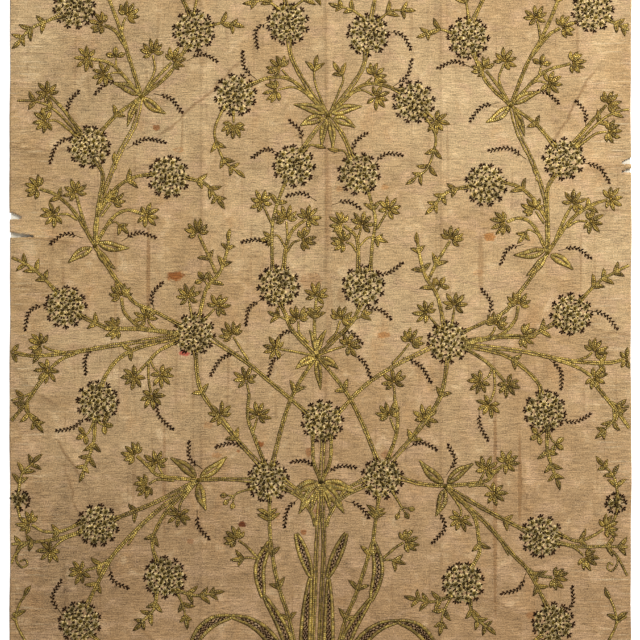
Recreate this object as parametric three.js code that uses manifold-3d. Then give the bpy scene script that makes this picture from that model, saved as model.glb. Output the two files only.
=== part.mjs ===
// An embroidered silk panel with a plain lining behind it, lying flat and face up.
// Millimetres, +Z up. The origin is the middle of the underside, +Y is the way the flowers
// grow and +X is the right-hand side of the face.
//
// The silk is one thin sheet with its storage creases, its cockled surface and four worn
// tears at its side edges, where the lining shows. The metal-thread work is stitched into the
// silk and stands up from it, so its flower heads, stems, blossoms and crown leaves are raised
// from the same sheet. The lining is a second sheet, which lies flat under the silk.
import * as THREE from "three";
import { mergeVertices } from "three/addons/utils/BufferGeometryUtils.js";
import Module from "manifold-3d";

const wasm = await Module();
wasm.setup();

// Driving sizes of the cloth
const WIDTH = 622;
const LENGTH = 860;
const LINING_THICK = 1.0;
const SILK_THICK = 1.2;
const LAYER_GAP = 0.3;
const EDGE_WAVE = 1.6;
const LINING_INSET = 1.2;
const COCKLE = 0.35;
const SILK_BACK = LINING_THICK + LAYER_GAP;

// Spacing of the points that the silk's face and back are drawn through
const GRID_STEP = 28;
const EDGE_STEP = 17;
const FOLD_STEP = 17;
const STEM_STEP = 19;
const CREASE_HALF = 10;
const EDGE_MARGIN = 4;

// Relief of the metal-thread work above the silk
const HEAD_RISE = 1.6;
const HEAD_SIDES = 10;
const STEM_HALF = 2.2;
const STEM_RISE = 1.1;
const BLOSSOM_RADIUS = 10.5;
const BLOSSOM_RISE = 1.3;
const BLOSSOM_LOBES = 5;
const LEAF_HALF = 3.2;
const LEAF_RISE = 1.1;

// The design mirrors about a line that leans a little, as worked by eye on the frame
const AXIS_AT_MIDDLE = 2;
const AXIS_LEAN = 0.022;

// Turns a table's rows of numbers into records with named columns.
function table(columns, rows) {
  const names = columns.split(" ");
  return rows.map((row) =>
    Object.fromEntries(names.map((name, i) => [name, row[i]])),
  );
}

// Three straight storage creases run the whole length, where the panel was kept folded.
const STORAGE_CREASES = table("x rise", [
  [-118.5, 0.7],
  [6, 0.9],
  [121, 0.7],
]);

// Other folds and ripples, each from one point to another along its ridge
const FOLDS = table("x0 y0 x1 y1 half rise", [
  [-164, 190, -74, 272, 13, 2.2],
  [277, 264, 232, 186, 13, 2.4],
  [-264, -105, -236, -156, 13, 2.2],
  [-256, -136, -240, -190, 12, 1.7],
  [-186, -288, -150, -330, 12, 1.8],
  [156, -266, 206, -283, 12, 1.6],
  [268, 3, 311, -7, 12, 1.6],
  [-311, 182, -246, 178, 11, 1.6],
  [-311, 152, -252, 148, 10, 1.3],
  [-311, 96, -244, 86, 12, 1.8],
  [-304, -44, -268, -76, 11, 1.4],
  [-112, -247, -66, -243, 10, 1.1],
  [311, 166, 268, 160, 11, 1.4],
  [311, 118, 262, 124, 11, 1.2],
  [198, -124, 205, -182, 12, 1.4],
  [174, -88, 172, -300, 9, 0.8],
  [-60, 394, 40, 372, 12, 1.3],
  [-240, -372, -150, -392, 13, 1.6],
  [120, -388, 216, -370, 12, 1.4],
]);

// Tears open to a side edge: the side, the height, how far in they reach and how wide they gape
const TEARS = table("side y reach gape", [
  [-1, 114, 12, 7.5],
  [-1, 95, 25, 5.5],
  [1, 169, 10, 7],
  [1, 159.5, 9, 4.6],
]);

// The embroidery of one half. "out" is measured from the leaning axis, "up" from the middle.
const HEADS = table("out up radius", [
  [256, 325, 20],
  [136, 297, 20],
  [40, 300, 20],
  [237, 178, 20],
  [158, 149, 20],
  [90, 232, 20],
  [32, 161, 20],
  [44, 44, 20],
  [251, 20, 20],
  [128, -8, 20],
  [223, -78, 20],
  [57, -149, 20],
  [221, -200, 20],
  [296, -172, 12],
  [149, -248, 20],
  [236, -292, 20],
  [196, 384, 18],
  [76, 386, 18],
]);
const MIDDLE_HEADS = table("out up radius", [[0, -94, 20]]);

// Main stems, each a curve that bows to its left by "bow" as it runs from one end to the other
const STEMS = table("out0 up0 out1 up1 bow", [
  [2, 214, 38, 284, 5],
  [3, 214, 74, 243, -12],
  [4, 210, 24, 178, 0],
  [186, 234, 206, 292, -3],
  [206, 292, 226, 366, -4],
  [183, 238, 147, 280, 5],
  [190, 240, 238, 273, 6],
  [192, 228, 226, 194, -3],
  [187, 230, 208, 165, -4],
  [208, 165, 229, 84, 3],
  [229, 84, 226, 160, -4],
  [222, 118, 178, 153, 6],
  [229, 86, 282, 136, 7],
  [227, 80, 197, 36, 2],
  [197, 32, 147, 2, -4],
  [149, -9, 234, 8, 6],
  [150, -11, 304, -24, 8],
  [248, -26, 292, -74, -4],
  [152, -12, 216, -58, -10],
  [146, -16, 170, -58, -8],
  [122, 10, 100, 88, -5],
  [112, -12, 16, -86, 4],
  [42, 63, 35, 142, -4],
  [51, 62, 50, 142, 3],
  [6, -24, 44, 26, -3],
  [10, -34, 58, -130, 4],
  [126, -26, 66, -132, -6],
  [76, -148, 120, -151, 3],
  [125, -153, 203, -194, -5],
  [126, -156, 224, -274, -8],
  [125, -158, 156, -230, -12],
  [126, -150, 178, -134, -6],
  [226, -98, 236, -148, 0],
  [240, -203, 300, -236, -8],
  [256, 40, 308, 76, 6],
  [274, 320, 308, 290, -3],
  [53, -168, 57, -246, -3],
  [57, -246, 10, -366, 5],
  [48, -166, 6, -190, 4],
  [36, -252, 6, -352, 3],
  [100, -318, 14, -372, -22],
  [40, 318, 74, 370, 4],
  [138, 316, 190, 368, 5],
]);
const MIDDLE_STEMS = table("out0 up0 out1 up1 bow", [
  [5, -150, 5, -376, 0],
  [-5, -150, -5, -376, 0],
  [0, -24, 3, 30, 2],
  [0, -146, 0, -112, 0],
]);

// Blossoms of five pointed lobes, as they show from a step away
const BLOSSOMS = table("out up", [
  [51, 260],
  [56, 235],
  [233, 308],
  [200, 322],
  [245, 272],
  [227, 253],
  [177, 281],
  [146, 262],
  [280, 242],
  [285, 207],
  [291, 138],
  [273, 115],
  [247, 139],
  [208, 128],
  [178, 120],
  [197, 37],
  [174, 16],
  [202, -2],
  [279, -12],
  [273, -47],
  [157, -45],
  [185, -48],
  [168, -66],
  [138, 34],
  [131, 99],
  [100, 26],
  [77, 132],
  [20, 116],
  [21, 91],
  [40, 116],
  [92, -4],
  [71, -46],
  [25, 19],
  [49, -20],
  [63, -76],
  [101, -79],
  [187, -128],
  [161, -130],
  [172, -160],
  [138, -191],
  [238, -247],
  [87, -208],
  [283, -191],
  [266, -227],
]);
const MIDDLE_BLOSSOMS = table("out up", [[3, 40]]);

// Long pointed leaves at the crowns, from their foot to their tip
const LEAVES = table("out0 up0 out1 up1", [
  [4, 216, 30, 225],
  [4, 212, 23, 207],
  [184, 234, 209, 243],
  [183, 230, 164, 217],
  [225, 86, 197, 90],
  [233, 82, 254, 66],
  [224, 80, 211, 64],
  [4, -29, 26, -40],
  [118, -148, 99, -131],
  [126, -148, 146, -132],
  [122, -157, 112, -179],
  [4, -152, 26, -158],
  [3, -155, 17, -176],
  [9, -246, 25, -206],
]);

const halfWidth = WIDTH / 2;
const halfLength = LENGTH / 2;

// A soft ridge across its width: full in the middle and flat at its foot.
function ridge(distance, half) {
  return distance >= half ? 0 : 0.5 + 0.5 * Math.cos((Math.PI * distance) / half);
}

// The direction of a fold and the direction across it, with its length.
function foldFrame(fold) {
  const along = new THREE.Vector2(fold.x1 - fold.x0, fold.y1 - fold.y0);
  const length = along.length();
  along.normalize();
  return { along, across: new THREE.Vector2(-along.y, along.x), length };
}

// How far a fold lifts the silk at a point. It dies away over the last third at both ends.
function foldRise(fold, x, y) {
  const { along, across, length } = foldFrame(fold);
  const offset = new THREE.Vector2(x - fold.x0, y - fold.y0);
  const fromMiddle = Math.abs(offset.dot(along) - length / 2);
  const fading = Math.max(0, fromMiddle - length / 6);
  return (
    fold.rise *
    ridge(Math.abs(offset.dot(across)), fold.half) *
    ridge(fading, length / 3 + fold.half)
  );
}

// The height of the silk's face at a point, without its embroidery.
function silkFace(x, y) {
  const waves = 2 + Math.sin(x / 41 + y / 67) + Math.sin(x / 73 - y / 49 + 1.3);
  const creases = STORAGE_CREASES.map(
    (crease) => crease.rise * ridge(Math.abs(x - crease.x), CREASE_HALF),
  );
  const folds = FOLDS.map((fold) => foldRise(fold, x, y));
  return SILK_BACK + SILK_THICK + COCKLE * waves * 0.5 + Math.max(...creases, ...folds);
}

// Even spacing from one end to the other, with the near end but not the far one.
function spaced(from, to, step) {
  const parts = Math.max(1, Math.round(Math.abs(to - from) / step));
  return Array.from({ length: parts }, (_, k) => from + ((to - from) * k) / parts);
}

// How far each point of an edge lies inside the straight edge. One of them lies on it.
function edgeInsets(places, phase) {
  const raw = places.map(
    (at) => EDGE_WAVE * 0.5 * (Math.sin(at / 38 + phase) + 0.5 * Math.sin(at / 13 + 2 * phase)),
  );
  const least = Math.min(...raw);
  return raw.map((value) => value - least);
}

// The four wavering edges, each with the way it runs, the way in and its phase
const EDGES = [
  { from: [-1, -1], to: [1, -1], inward: [0, 1], phase: 2.7 },
  { from: [1, -1], to: [1, 1], inward: [-1, 0], phase: 1.9 },
  { from: [1, 1], to: [-1, 1], inward: [0, -1], phase: 4.1 },
  { from: [-1, 1], to: [-1, -1], inward: [1, 0], phase: 0.4 },
];

// The points round the silk, counter-clockwise, each with its place on the wavering edge.
function edgePoints() {
  return EDGES.flatMap(({ from, to, inward, phase }) => {
    const upright = inward[0] !== 0;
    const half = upright ? halfLength : halfWidth;
    const [start, end] = upright ? [from[1], to[1]] : [from[0], to[0]];
    const places = spaced(start * half, end * half, EDGE_STEP);
    const insets = edgeInsets(places, phase);
    return places.map((at, k) => {
      const x = upright ? from[0] * halfWidth : at;
      const y = upright ? at : from[1] * halfLength;
      const inset = k === 0 ? 0 : insets[k];
      return { x, y, moved: [x + inward[0] * inset, y + inward[1] * inset], rise: 0 };
    });
  });
}

// The circle through a triangle's corners.
function circled(points, corners) {
  const [a, b, c] = corners.map((i) => points[i]);
  const [bx, by, cx, cy] = [b.x - a.x, b.y - a.y, c.x - a.x, c.y - a.y];
  const [bb, cc] = [bx * bx + by * by, cx * cx + cy * cy];
  const twice = 2 * (bx * cy - by * cx);
  const [x, y] = [(cy * bb - by * cc) / twice, (bx * cc - cx * bb) / twice];
  return { corners, x: a.x + x, y: a.y + y, square: x * x + y * y };
}

// Twice the area of a triangle in plan, which is positive when it runs counter-clockwise.
function turn(a, b, c) {
  return (b.x - a.x) * (c.y - a.y) - (b.y - a.y) * (c.x - a.x);
}

// A net of triangles over the cloth's rectangle through every point, such that the circle
// through a triangle's corners holds no other point. "corners" index the rectangle's corners.
function triangulate(points, corners) {
  let net = [
    circled(points, [corners[0], corners[1], corners[2]]),
    circled(points, [corners[0], corners[2], corners[3]]),
  ];
  points.forEach((point, k) => {
    if (corners.includes(k)) return;
    const struck = [];
    const kept = [];
    net.forEach((triangle) => {
      const square = (point.x - triangle.x) ** 2 + (point.y - triangle.y) ** 2;
      (square < triangle.square * (1 - 1e-9) ? struck : kept).push(triangle);
    });
    const rim = new Map();
    struck.forEach((triangle) =>
      triangle.corners.forEach((a, s) => {
        const b = triangle.corners[(s + 1) % 3];
        if (!rim.delete(`${b} ${a}`)) rim.set(`${a} ${b}`, [a, b]);
      }),
    );
    rim.forEach(([a, b]) => {
      if (turn(points[a], points[b], point) > 1e-6) kept.push(circled(points, [a, b, k]));
    });
    net = kept;
  });
  return net.map((triangle) => triangle.corners);
}

// The points of a net in plan, which starts with the points round the silk. A footprint
// keeps later points off a form, and "clear" keeps them off single points.
class Net {
  constructor(rim) {
    this.points = [...rim];
    this.footprints = [];
  }

  add(x, y, rise, clear) {
    const outside =
      Math.abs(x) > halfWidth - EDGE_MARGIN || Math.abs(y) > halfLength - EDGE_MARGIN;
    const covered = this.footprints.some((f) => Math.hypot(x - f.x, y - f.y) < f.radius);
    const crowded = this.points.some((p) => Math.hypot(x - p.x, y - p.y) < clear);
    if (!outside && !covered && !crowded) this.points.push({ x, y, rise });
  }

  // A ring of points round a middle, the first of them at the angle "start".
  ring(x, y, radius, count, start, rise, clear) {
    for (let k = 0; k < count; k++) {
      const angle = start + (2 * Math.PI * k) / count;
      this.add(x + radius * Math.cos(angle), y + radius * Math.sin(angle), rise, clear);
    }
  }

  // A line of points with a foot on both sides of each, "half" away.
  strand(line, halves, rise, clear) {
    line.forEach((point, k) => {
      const from = line[Math.max(0, k - 1)];
      const to = line[Math.min(line.length - 1, k + 1)];
      const across = new THREE.Vector2(from[1] - to[1], to[0] - from[0])
        .normalize()
        .multiplyScalar(halves[k]);
      const tip = halves[k] === 0;
      this.add(point[0], point[1], tip ? 0 : rise, clear);
      if (tip) return;
      this.add(point[0] + across.x, point[1] + across.y, 0, clear);
      this.add(point[0] - across.x, point[1] - across.y, 0, clear);
    });
  }
}

// The x of a point of the design, on the left or the right of the leaning axis.
function acrossFrom(side, out, up) {
  return AXIS_AT_MIDDLE + AXIS_LEAN * up + side * out;
}

// A flower head: a low round dome with a steep rim.
function addHead(net, side, row) {
  const x = acrossFrom(side, row.out, row.up);
  const turned = row.out * 0.37;
  net.ring(x, row.up, row.radius, HEAD_SIDES, turned, 0, 2);
  net.ring(x, row.up, row.radius * 0.84, HEAD_SIDES, turned, HEAD_RISE * 0.75, 2);
  net.add(x, row.up, HEAD_RISE, 2);
  net.footprints.push({ x, y: row.up, radius: row.radius + 0.5 });
}

// A blossom: a star of pointed lobes, with a valley between each two.
function addBlossom(net, side, row) {
  const x = acrossFrom(side, row.out, row.up);
  const turned = row.out * 0.53 + row.up;
  const gap = Math.PI / BLOSSOM_LOBES;
  net.ring(x, row.up, BLOSSOM_RADIUS, BLOSSOM_LOBES, turned, 0, 2);
  net.ring(x, row.up, BLOSSOM_RADIUS * 0.62, BLOSSOM_LOBES, turned + gap, 0, 2);
  net.ring(x, row.up, BLOSSOM_RADIUS * 0.5, BLOSSOM_LOBES, turned, BLOSSOM_RISE * 0.85, 2);
  net.add(x, row.up, BLOSSOM_RISE, 2);
  net.footprints.push({ x, y: row.up, radius: BLOSSOM_RADIUS * 0.8 });
}

// A crown leaf: a ridge that swells in its middle and ends in points.
function addLeaf(net, side, row) {
  const line = [0.1, 0.45, 1].map((share) => {
    const up = row.up0 + (row.up1 - row.up0) * share;
    return [acrossFrom(side, row.out0 + (row.out1 - row.out0) * share, up), up];
  });
  net.strand(line, [1.6, LEAF_HALF, 0], LEAF_RISE, 1.5);
}

// A stem: a bowed ridge that narrows a little from its start to its end.
function addStem(net, side, row) {
  const start = new THREE.Vector2(acrossFrom(side, row.out0, row.up0), row.up0);
  const end = new THREE.Vector2(acrossFrom(side, row.out1, row.up1), row.up1);
  const chord = end.clone().sub(start);
  const bend = new THREE.Vector2(-chord.y, chord.x).setLength(2 * Math.abs(row.bow) + 1e-6);
  bend.multiplyScalar(-side * Math.sign(row.bow));
  const middle = start.clone().add(end).multiplyScalar(0.5).add(bend);
  const curve = new THREE.QuadraticBezierCurve(start, middle, end);
  const steps = Math.max(2, Math.round(chord.length() / STEM_STEP));
  const line = curve.getSpacedPoints(steps).map((p) => [p.x, p.y]);
  const halves = line.map((_, k) => STEM_HALF * (1 - (0.3 * k) / steps));
  net.strand(line, halves, STEM_RISE, 1.5);
}

// Every raised form of the metal-thread work, from both halves and the middle.
function addEmbroidery(net) {
  const both = (rows, addForm) =>
    [-1, 1].forEach((side) => rows.forEach((row) => addForm(net, side, row)));
  both(HEADS, addHead);
  MIDDLE_HEADS.forEach((row) => addHead(net, 1, row));
  both(BLOSSOMS, addBlossom);
  MIDDLE_BLOSSOMS.forEach((row) => addBlossom(net, 1, row));
  both(LEAVES, addLeaf);
  MIDDLE_STEMS.forEach((row) => addStem(net, 1, row));
  both(STEMS, addStem);
}

// The points that carry the folds, the storage creases and the open cloth between them.
function addCloth(net, clear) {
  FOLDS.forEach((fold) => {
    const { along, across, length } = foldFrame(fold);
    [...spaced(0, length, FOLD_STEP), length].forEach((travel) => {
      const x = fold.x0 + along.x * travel;
      const y = fold.y0 + along.y * travel;
      net.add(x, y, 0, clear);
      net.add(x + across.x * fold.half, y + across.y * fold.half, 0, clear);
      net.add(x - across.x * fold.half, y - across.y * fold.half, 0, clear);
    });
    [-fold.half, length + fold.half].forEach((travel) =>
      net.add(fold.x0 + along.x * travel, fold.y0 + along.y * travel, 0, clear),
    );
  });
  STORAGE_CREASES.forEach((crease) =>
    spaced(-halfLength, halfLength, FOLD_STEP * 1.3).forEach((y) =>
      [-CREASE_HALF, 0, CREASE_HALF].forEach((off) => net.add(crease.x + off, y, 0, clear)),
    ),
  );
  const rows = spaced(-halfLength, halfLength, GRID_STEP * 0.87);
  rows.forEach((y, j) =>
    spaced(-halfWidth, halfWidth, GRID_STEP).forEach((x) =>
      net.add(x + (j % 2 ? GRID_STEP / 2 : 0), y, 0, GRID_STEP * 0.42),
    ),
  );
}

// A boolean solid from a closed geometry, and a geometry back from a boolean solid.
function solidOf(geometry) {
  const bare = geometry.clone();
  bare.deleteAttribute("normal");
  bare.deleteAttribute("uv");
  const merged = mergeVertices(bare, 1e-4);
  return new wasm.Manifold(
    new wasm.Mesh({
      numProp: 3,
      vertProperties: new Float32Array(merged.attributes.position.array),
      triVerts: new Uint32Array(merged.index.array),
    }),
  );
}

function geometryFrom(solid) {
  const mesh = solid.getMesh();
  const geometry = new THREE.BufferGeometry();
  geometry.setAttribute("position", new THREE.BufferAttribute(mesh.vertProperties, 3));
  geometry.setIndex(new THREE.BufferAttribute(mesh.triVerts, 1));
  return geometry;
}

// The silk: a face with the embroidery and a back without it, joined round the edge. Both
// follow the same folds, so the cloth between them has one thickness.
function silkSheet() {
  const rim = edgePoints();
  const corners = rim.map((_, k) => k).filter((k) => {
    const { x, y } = rim[k];
    return Math.abs(x) === halfWidth && Math.abs(y) === halfLength;
  });
  const face = new Net(rim);
  addEmbroidery(face);
  addCloth(face, 6);
  const back = new Net(rim);
  addCloth(back, 6);
  const raise = (net, drop) =>
    net.points.map(({ x, y, moved, rise }) => {
      const [px, py] = moved ?? [x, y];
      return [px, py, silkFace(px, py) + rise - drop];
    });
  const positions = [...raise(face, 0), ...raise(back, SILK_THICK)];
  const behind = face.points.length;
  const triangles = [
    ...triangulate(face.points, corners),
    ...triangulate(back.points, corners).map(([a, b, c]) => [a + behind, c + behind, b + behind]),
  ];
  rim.forEach((_, k) => {
    const next = (k + 1) % rim.length;
    triangles.push([k, next + behind, next], [k, k + behind, next + behind]);
  });
  const geometry = new THREE.BufferGeometry();
  geometry.setAttribute("position", new THREE.Float32BufferAttribute(positions.flat(), 3));
  geometry.setIndex(triangles.flat());
  return geometry;
}

// The cutter of one tear: a tapering slit that is open to the side of the silk.
function tearCutter(tear) {
  const edge = tear.side * (halfWidth + 5);
  const tip = tear.side * (halfWidth - tear.reach);
  const neck = tear.side * (halfWidth - tear.reach * 0.6);
  const outline = new THREE.Shape([
    new THREE.Vector2(edge, tear.y + tear.gape / 2),
    new THREE.Vector2(neck, tear.y + tear.gape * 0.38),
    new THREE.Vector2(tip, tear.y - tear.gape * 0.28),
    new THREE.Vector2(neck, tear.y - tear.gape * 0.42),
    new THREE.Vector2(edge, tear.y - tear.gape / 2),
  ]);
  const cutter = new THREE.ExtrudeGeometry(outline, { depth: 12, bevelEnabled: false });
  return cutter.translate(0, 0, SILK_BACK - 1);
}

// The embroidered silk: the sheet with its raised work, less the tears.
function embroideredSilk() {
  return geometryFrom(
    TEARS.reduce(
      (solid, tear) => solid.subtract(solidOf(tearCutter(tear))),
      solidOf(silkSheet()),
    ),
  );
}

// The lining: a flat sheet with wavering edges, a little smaller than the silk.
function liningSheet() {
  const outline = EDGES.flatMap(({ from, to, inward, phase }) => {
    const upright = inward[0] !== 0;
    const half = (upright ? halfLength : halfWidth) - LINING_INSET;
    const off = (upright ? halfWidth : halfLength) - LINING_INSET;
    const [start, end] = upright ? [from[1], to[1]] : [from[0], to[0]];
    return spaced(start * half, end * half, EDGE_STEP * 3).map((at, k) => {
      const inset = k === 0 ? 0 : EDGE_WAVE * 0.25 * (1 + Math.sin(at / 45 + phase));
      return upright
        ? new THREE.Vector2(from[0] * off + inward[0] * inset, at)
        : new THREE.Vector2(at, from[1] * off + inward[1] * inset);
    });
  });
  return new THREE.ExtrudeGeometry(new THREE.Shape(outline), {
    depth: LINING_THICK,
    bevelEnabled: false,
  });
}

const silk = new THREE.Mesh(
  embroideredSilk(),
  new THREE.MeshStandardMaterial({ color: 0xc2a47a, roughness: 0.75, metalness: 0 }),
);
silk.name = "embroidered_silk";

const lining = new THREE.Mesh(
  liningSheet(),
  new THREE.MeshStandardMaterial({ color: 0xcbc0a4, roughness: 0.9, metalness: 0 }),
);
lining.name = "lining";

const panel = new THREE.Group();
panel.add(silk, lining);

export default panel;
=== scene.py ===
"""An embroidered silk panel with a plain lining, lying flat and face up on a pale floor.

Sizes in the tables are millimetres, with +Y the way the flowers grow and +X to the right of
the face. Blender's own units are metres.
"""

import logging
import math
import random
from dataclasses import dataclass
from enum import Enum

import bpy
import numpy as np
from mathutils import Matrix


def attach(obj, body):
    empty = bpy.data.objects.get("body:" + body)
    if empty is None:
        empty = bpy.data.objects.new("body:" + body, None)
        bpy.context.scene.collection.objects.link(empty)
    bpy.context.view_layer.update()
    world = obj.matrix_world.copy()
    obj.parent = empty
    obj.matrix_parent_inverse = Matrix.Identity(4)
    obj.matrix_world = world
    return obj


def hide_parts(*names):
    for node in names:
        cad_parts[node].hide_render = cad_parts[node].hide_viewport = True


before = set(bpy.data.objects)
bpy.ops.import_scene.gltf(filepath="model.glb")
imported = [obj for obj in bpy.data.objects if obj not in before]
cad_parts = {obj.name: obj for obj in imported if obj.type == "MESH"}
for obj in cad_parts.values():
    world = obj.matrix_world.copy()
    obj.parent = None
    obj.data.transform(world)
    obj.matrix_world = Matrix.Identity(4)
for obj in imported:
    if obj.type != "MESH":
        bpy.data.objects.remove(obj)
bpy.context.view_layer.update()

LOG = logging.getLogger("panel")
MM = 0.001

Points = np.ndarray
Pair = tuple[float, float]
Colour = tuple[float, float, float]
Piece = bpy.types.Object
Material = bpy.types.Material
Socket = bpy.types.NodeSocket


class Body(Enum):
    """The rigid bodies that pieces ride on."""

    ROOT = "root"


class Slot(Enum):
    """The record's material slots."""

    SILK = "silk"
    LINING = "lining"


class Thread(Enum):
    """The threads of the embroidery, in the order of a piece's material slots."""

    GILT = 0
    OUTLINE = 1
    FLORET = 2
    OLIVE = 3
    # The next thread is a lighter copy of the gilt: a painted highlight on the tops of strands, on the
    # lit half of each lobe and on each floret's ring
    GILT_HIGHLIGHT = 4
    CREAM = 5


class Tip(Enum):
    """What a stem ends in."""

    NONE = "none"
    BLOSSOM = "blossom"
    BUD = "bud"
    TREFOIL = "trefoil"
    LEAF = "leaf"
    POINT = "point"


# The pattern, one half of it: "out" from the leaning middle line and "up" the panel


@dataclass(frozen=True)
class Place:
    """A place of the pattern that the hand strayed from a little.

    Args:
        out: Distance from the middle line.
        up: Height on the panel.
        left: How far the hand strayed on the left half, in x and y.
        right: The same on the right half.
    """

    out: float
    up: float
    left: Pair = (0, 0)
    right: Pair = (0, 0)


@dataclass(frozen=True)
class Crown(Place):
    """A point where stems and long leaves meet."""


@dataclass(frozen=True)
class Head(Place):
    """A round flower head.

    Args:
        radius: Its radius.
    """

    radius: float = 22.5


@dataclass(frozen=True)
class Stem:
    """A couched stem through a few points.

    Args:
        path: Points of the stem, each an (out, up) pair, from its foot to its tip.
        half: Half of its width at the foot.
        tip: What it ends in.
        pairs: Shares of its length where a pair of leaves grows.
        side: -1 or 1 where only the left or the right half has it, 0 for both.
    """

    path: tuple[Pair, ...]
    half: float = 1.2
    tip: Tip = Tip.NONE
    pairs: tuple[float, ...] = ()
    side: int = 0


@dataclass(frozen=True)
class Leaf:
    """A long pointed leaf of a crown, split along its middle.

    Args:
        foot: The (out, up) pair of its foot.
        end: The (out, up) pair of its point.
        half: Half of its greatest width.
        slot: Half of the width of its pale slot.
    """

    foot: Pair
    end: Pair
    half: float = 4.5
    slot: float = 0.8


@dataclass(frozen=True)
class Blade:
    """A leaf with a gilt border round dark knots.

    Args:
        path: Points of its middle, each an (out, up) pair.
        half: Greatest distance of its border from its middle.
    """

    path: tuple[Pair, ...]
    half: float


@dataclass(frozen=True)
class Sprig:
    """A curved spray of small dark knots.

    Args:
        foot: The (out, up) pair of its start.
        end: The (out, up) pair of its end.
        bow: How far its middle stands off the straight line.
        side: -1 or 1 where only the left or the right half has it, 0 for both.
    """

    foot: Pair
    end: Pair
    bow: float
    side: int = 0


HEADS = [
    Head(256, 325, left=(1, -3), right=(7, -6)), Head(136, 297, left=(1, 2), right=(3, -5)),
    Head(40, 300, left=(-1, 6), right=(-1, -5)), Head(237, 178, left=(0, 5), right=(0, -7)),
    Head(158, 149, left=(1, 4), right=(2, -4)), Head(90, 232, left=(-2, 3), right=(-4, -4)),
    Head(32, 161, left=(0, 3), right=(1, -5)), Head(44, 44, left=(-1, 0), right=(-4, 0)),
    Head(251, 20, left=(-6, 3), right=(-3, -4)), Head(128, -8, left=(0, 4), right=(-2, -4)),
    Head(223, -78, left=(0, 6), right=(1, -3)), Head(57, -149, left=(6, -2), right=(6, 1)),
    Head(221, -200, left=(1, 5), right=(2, -6)),
    Head(296, -172, left=(-3, 2), right=(1, -1), radius=12),
    Head(149, -248, left=(-3, 1), right=(-3, -5)), Head(236, -292, right=(1, -1)),
    Head(196, 384, radius=20), Head(76, 386, radius=20),
]
MIDDLE_HEADS = [Head(0, -94, left=(2, 3), right=(2, 3))]
CROWNS = [
    Crown(0, 214, left=(1, 0), right=(1, 0)), Crown(185, 232, left=(-1, 1), right=(-2, -8)),
    Crown(228, 83, left=(-1, 1), right=(-5, -6)), Crown(0, -27, left=(-5, 1), right=(-5, 1)),
    Crown(0, -152, left=(2, 0), right=(2, 0)), Crown(122, -152, left=(1, 2), right=(4, -4)),
]

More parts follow.
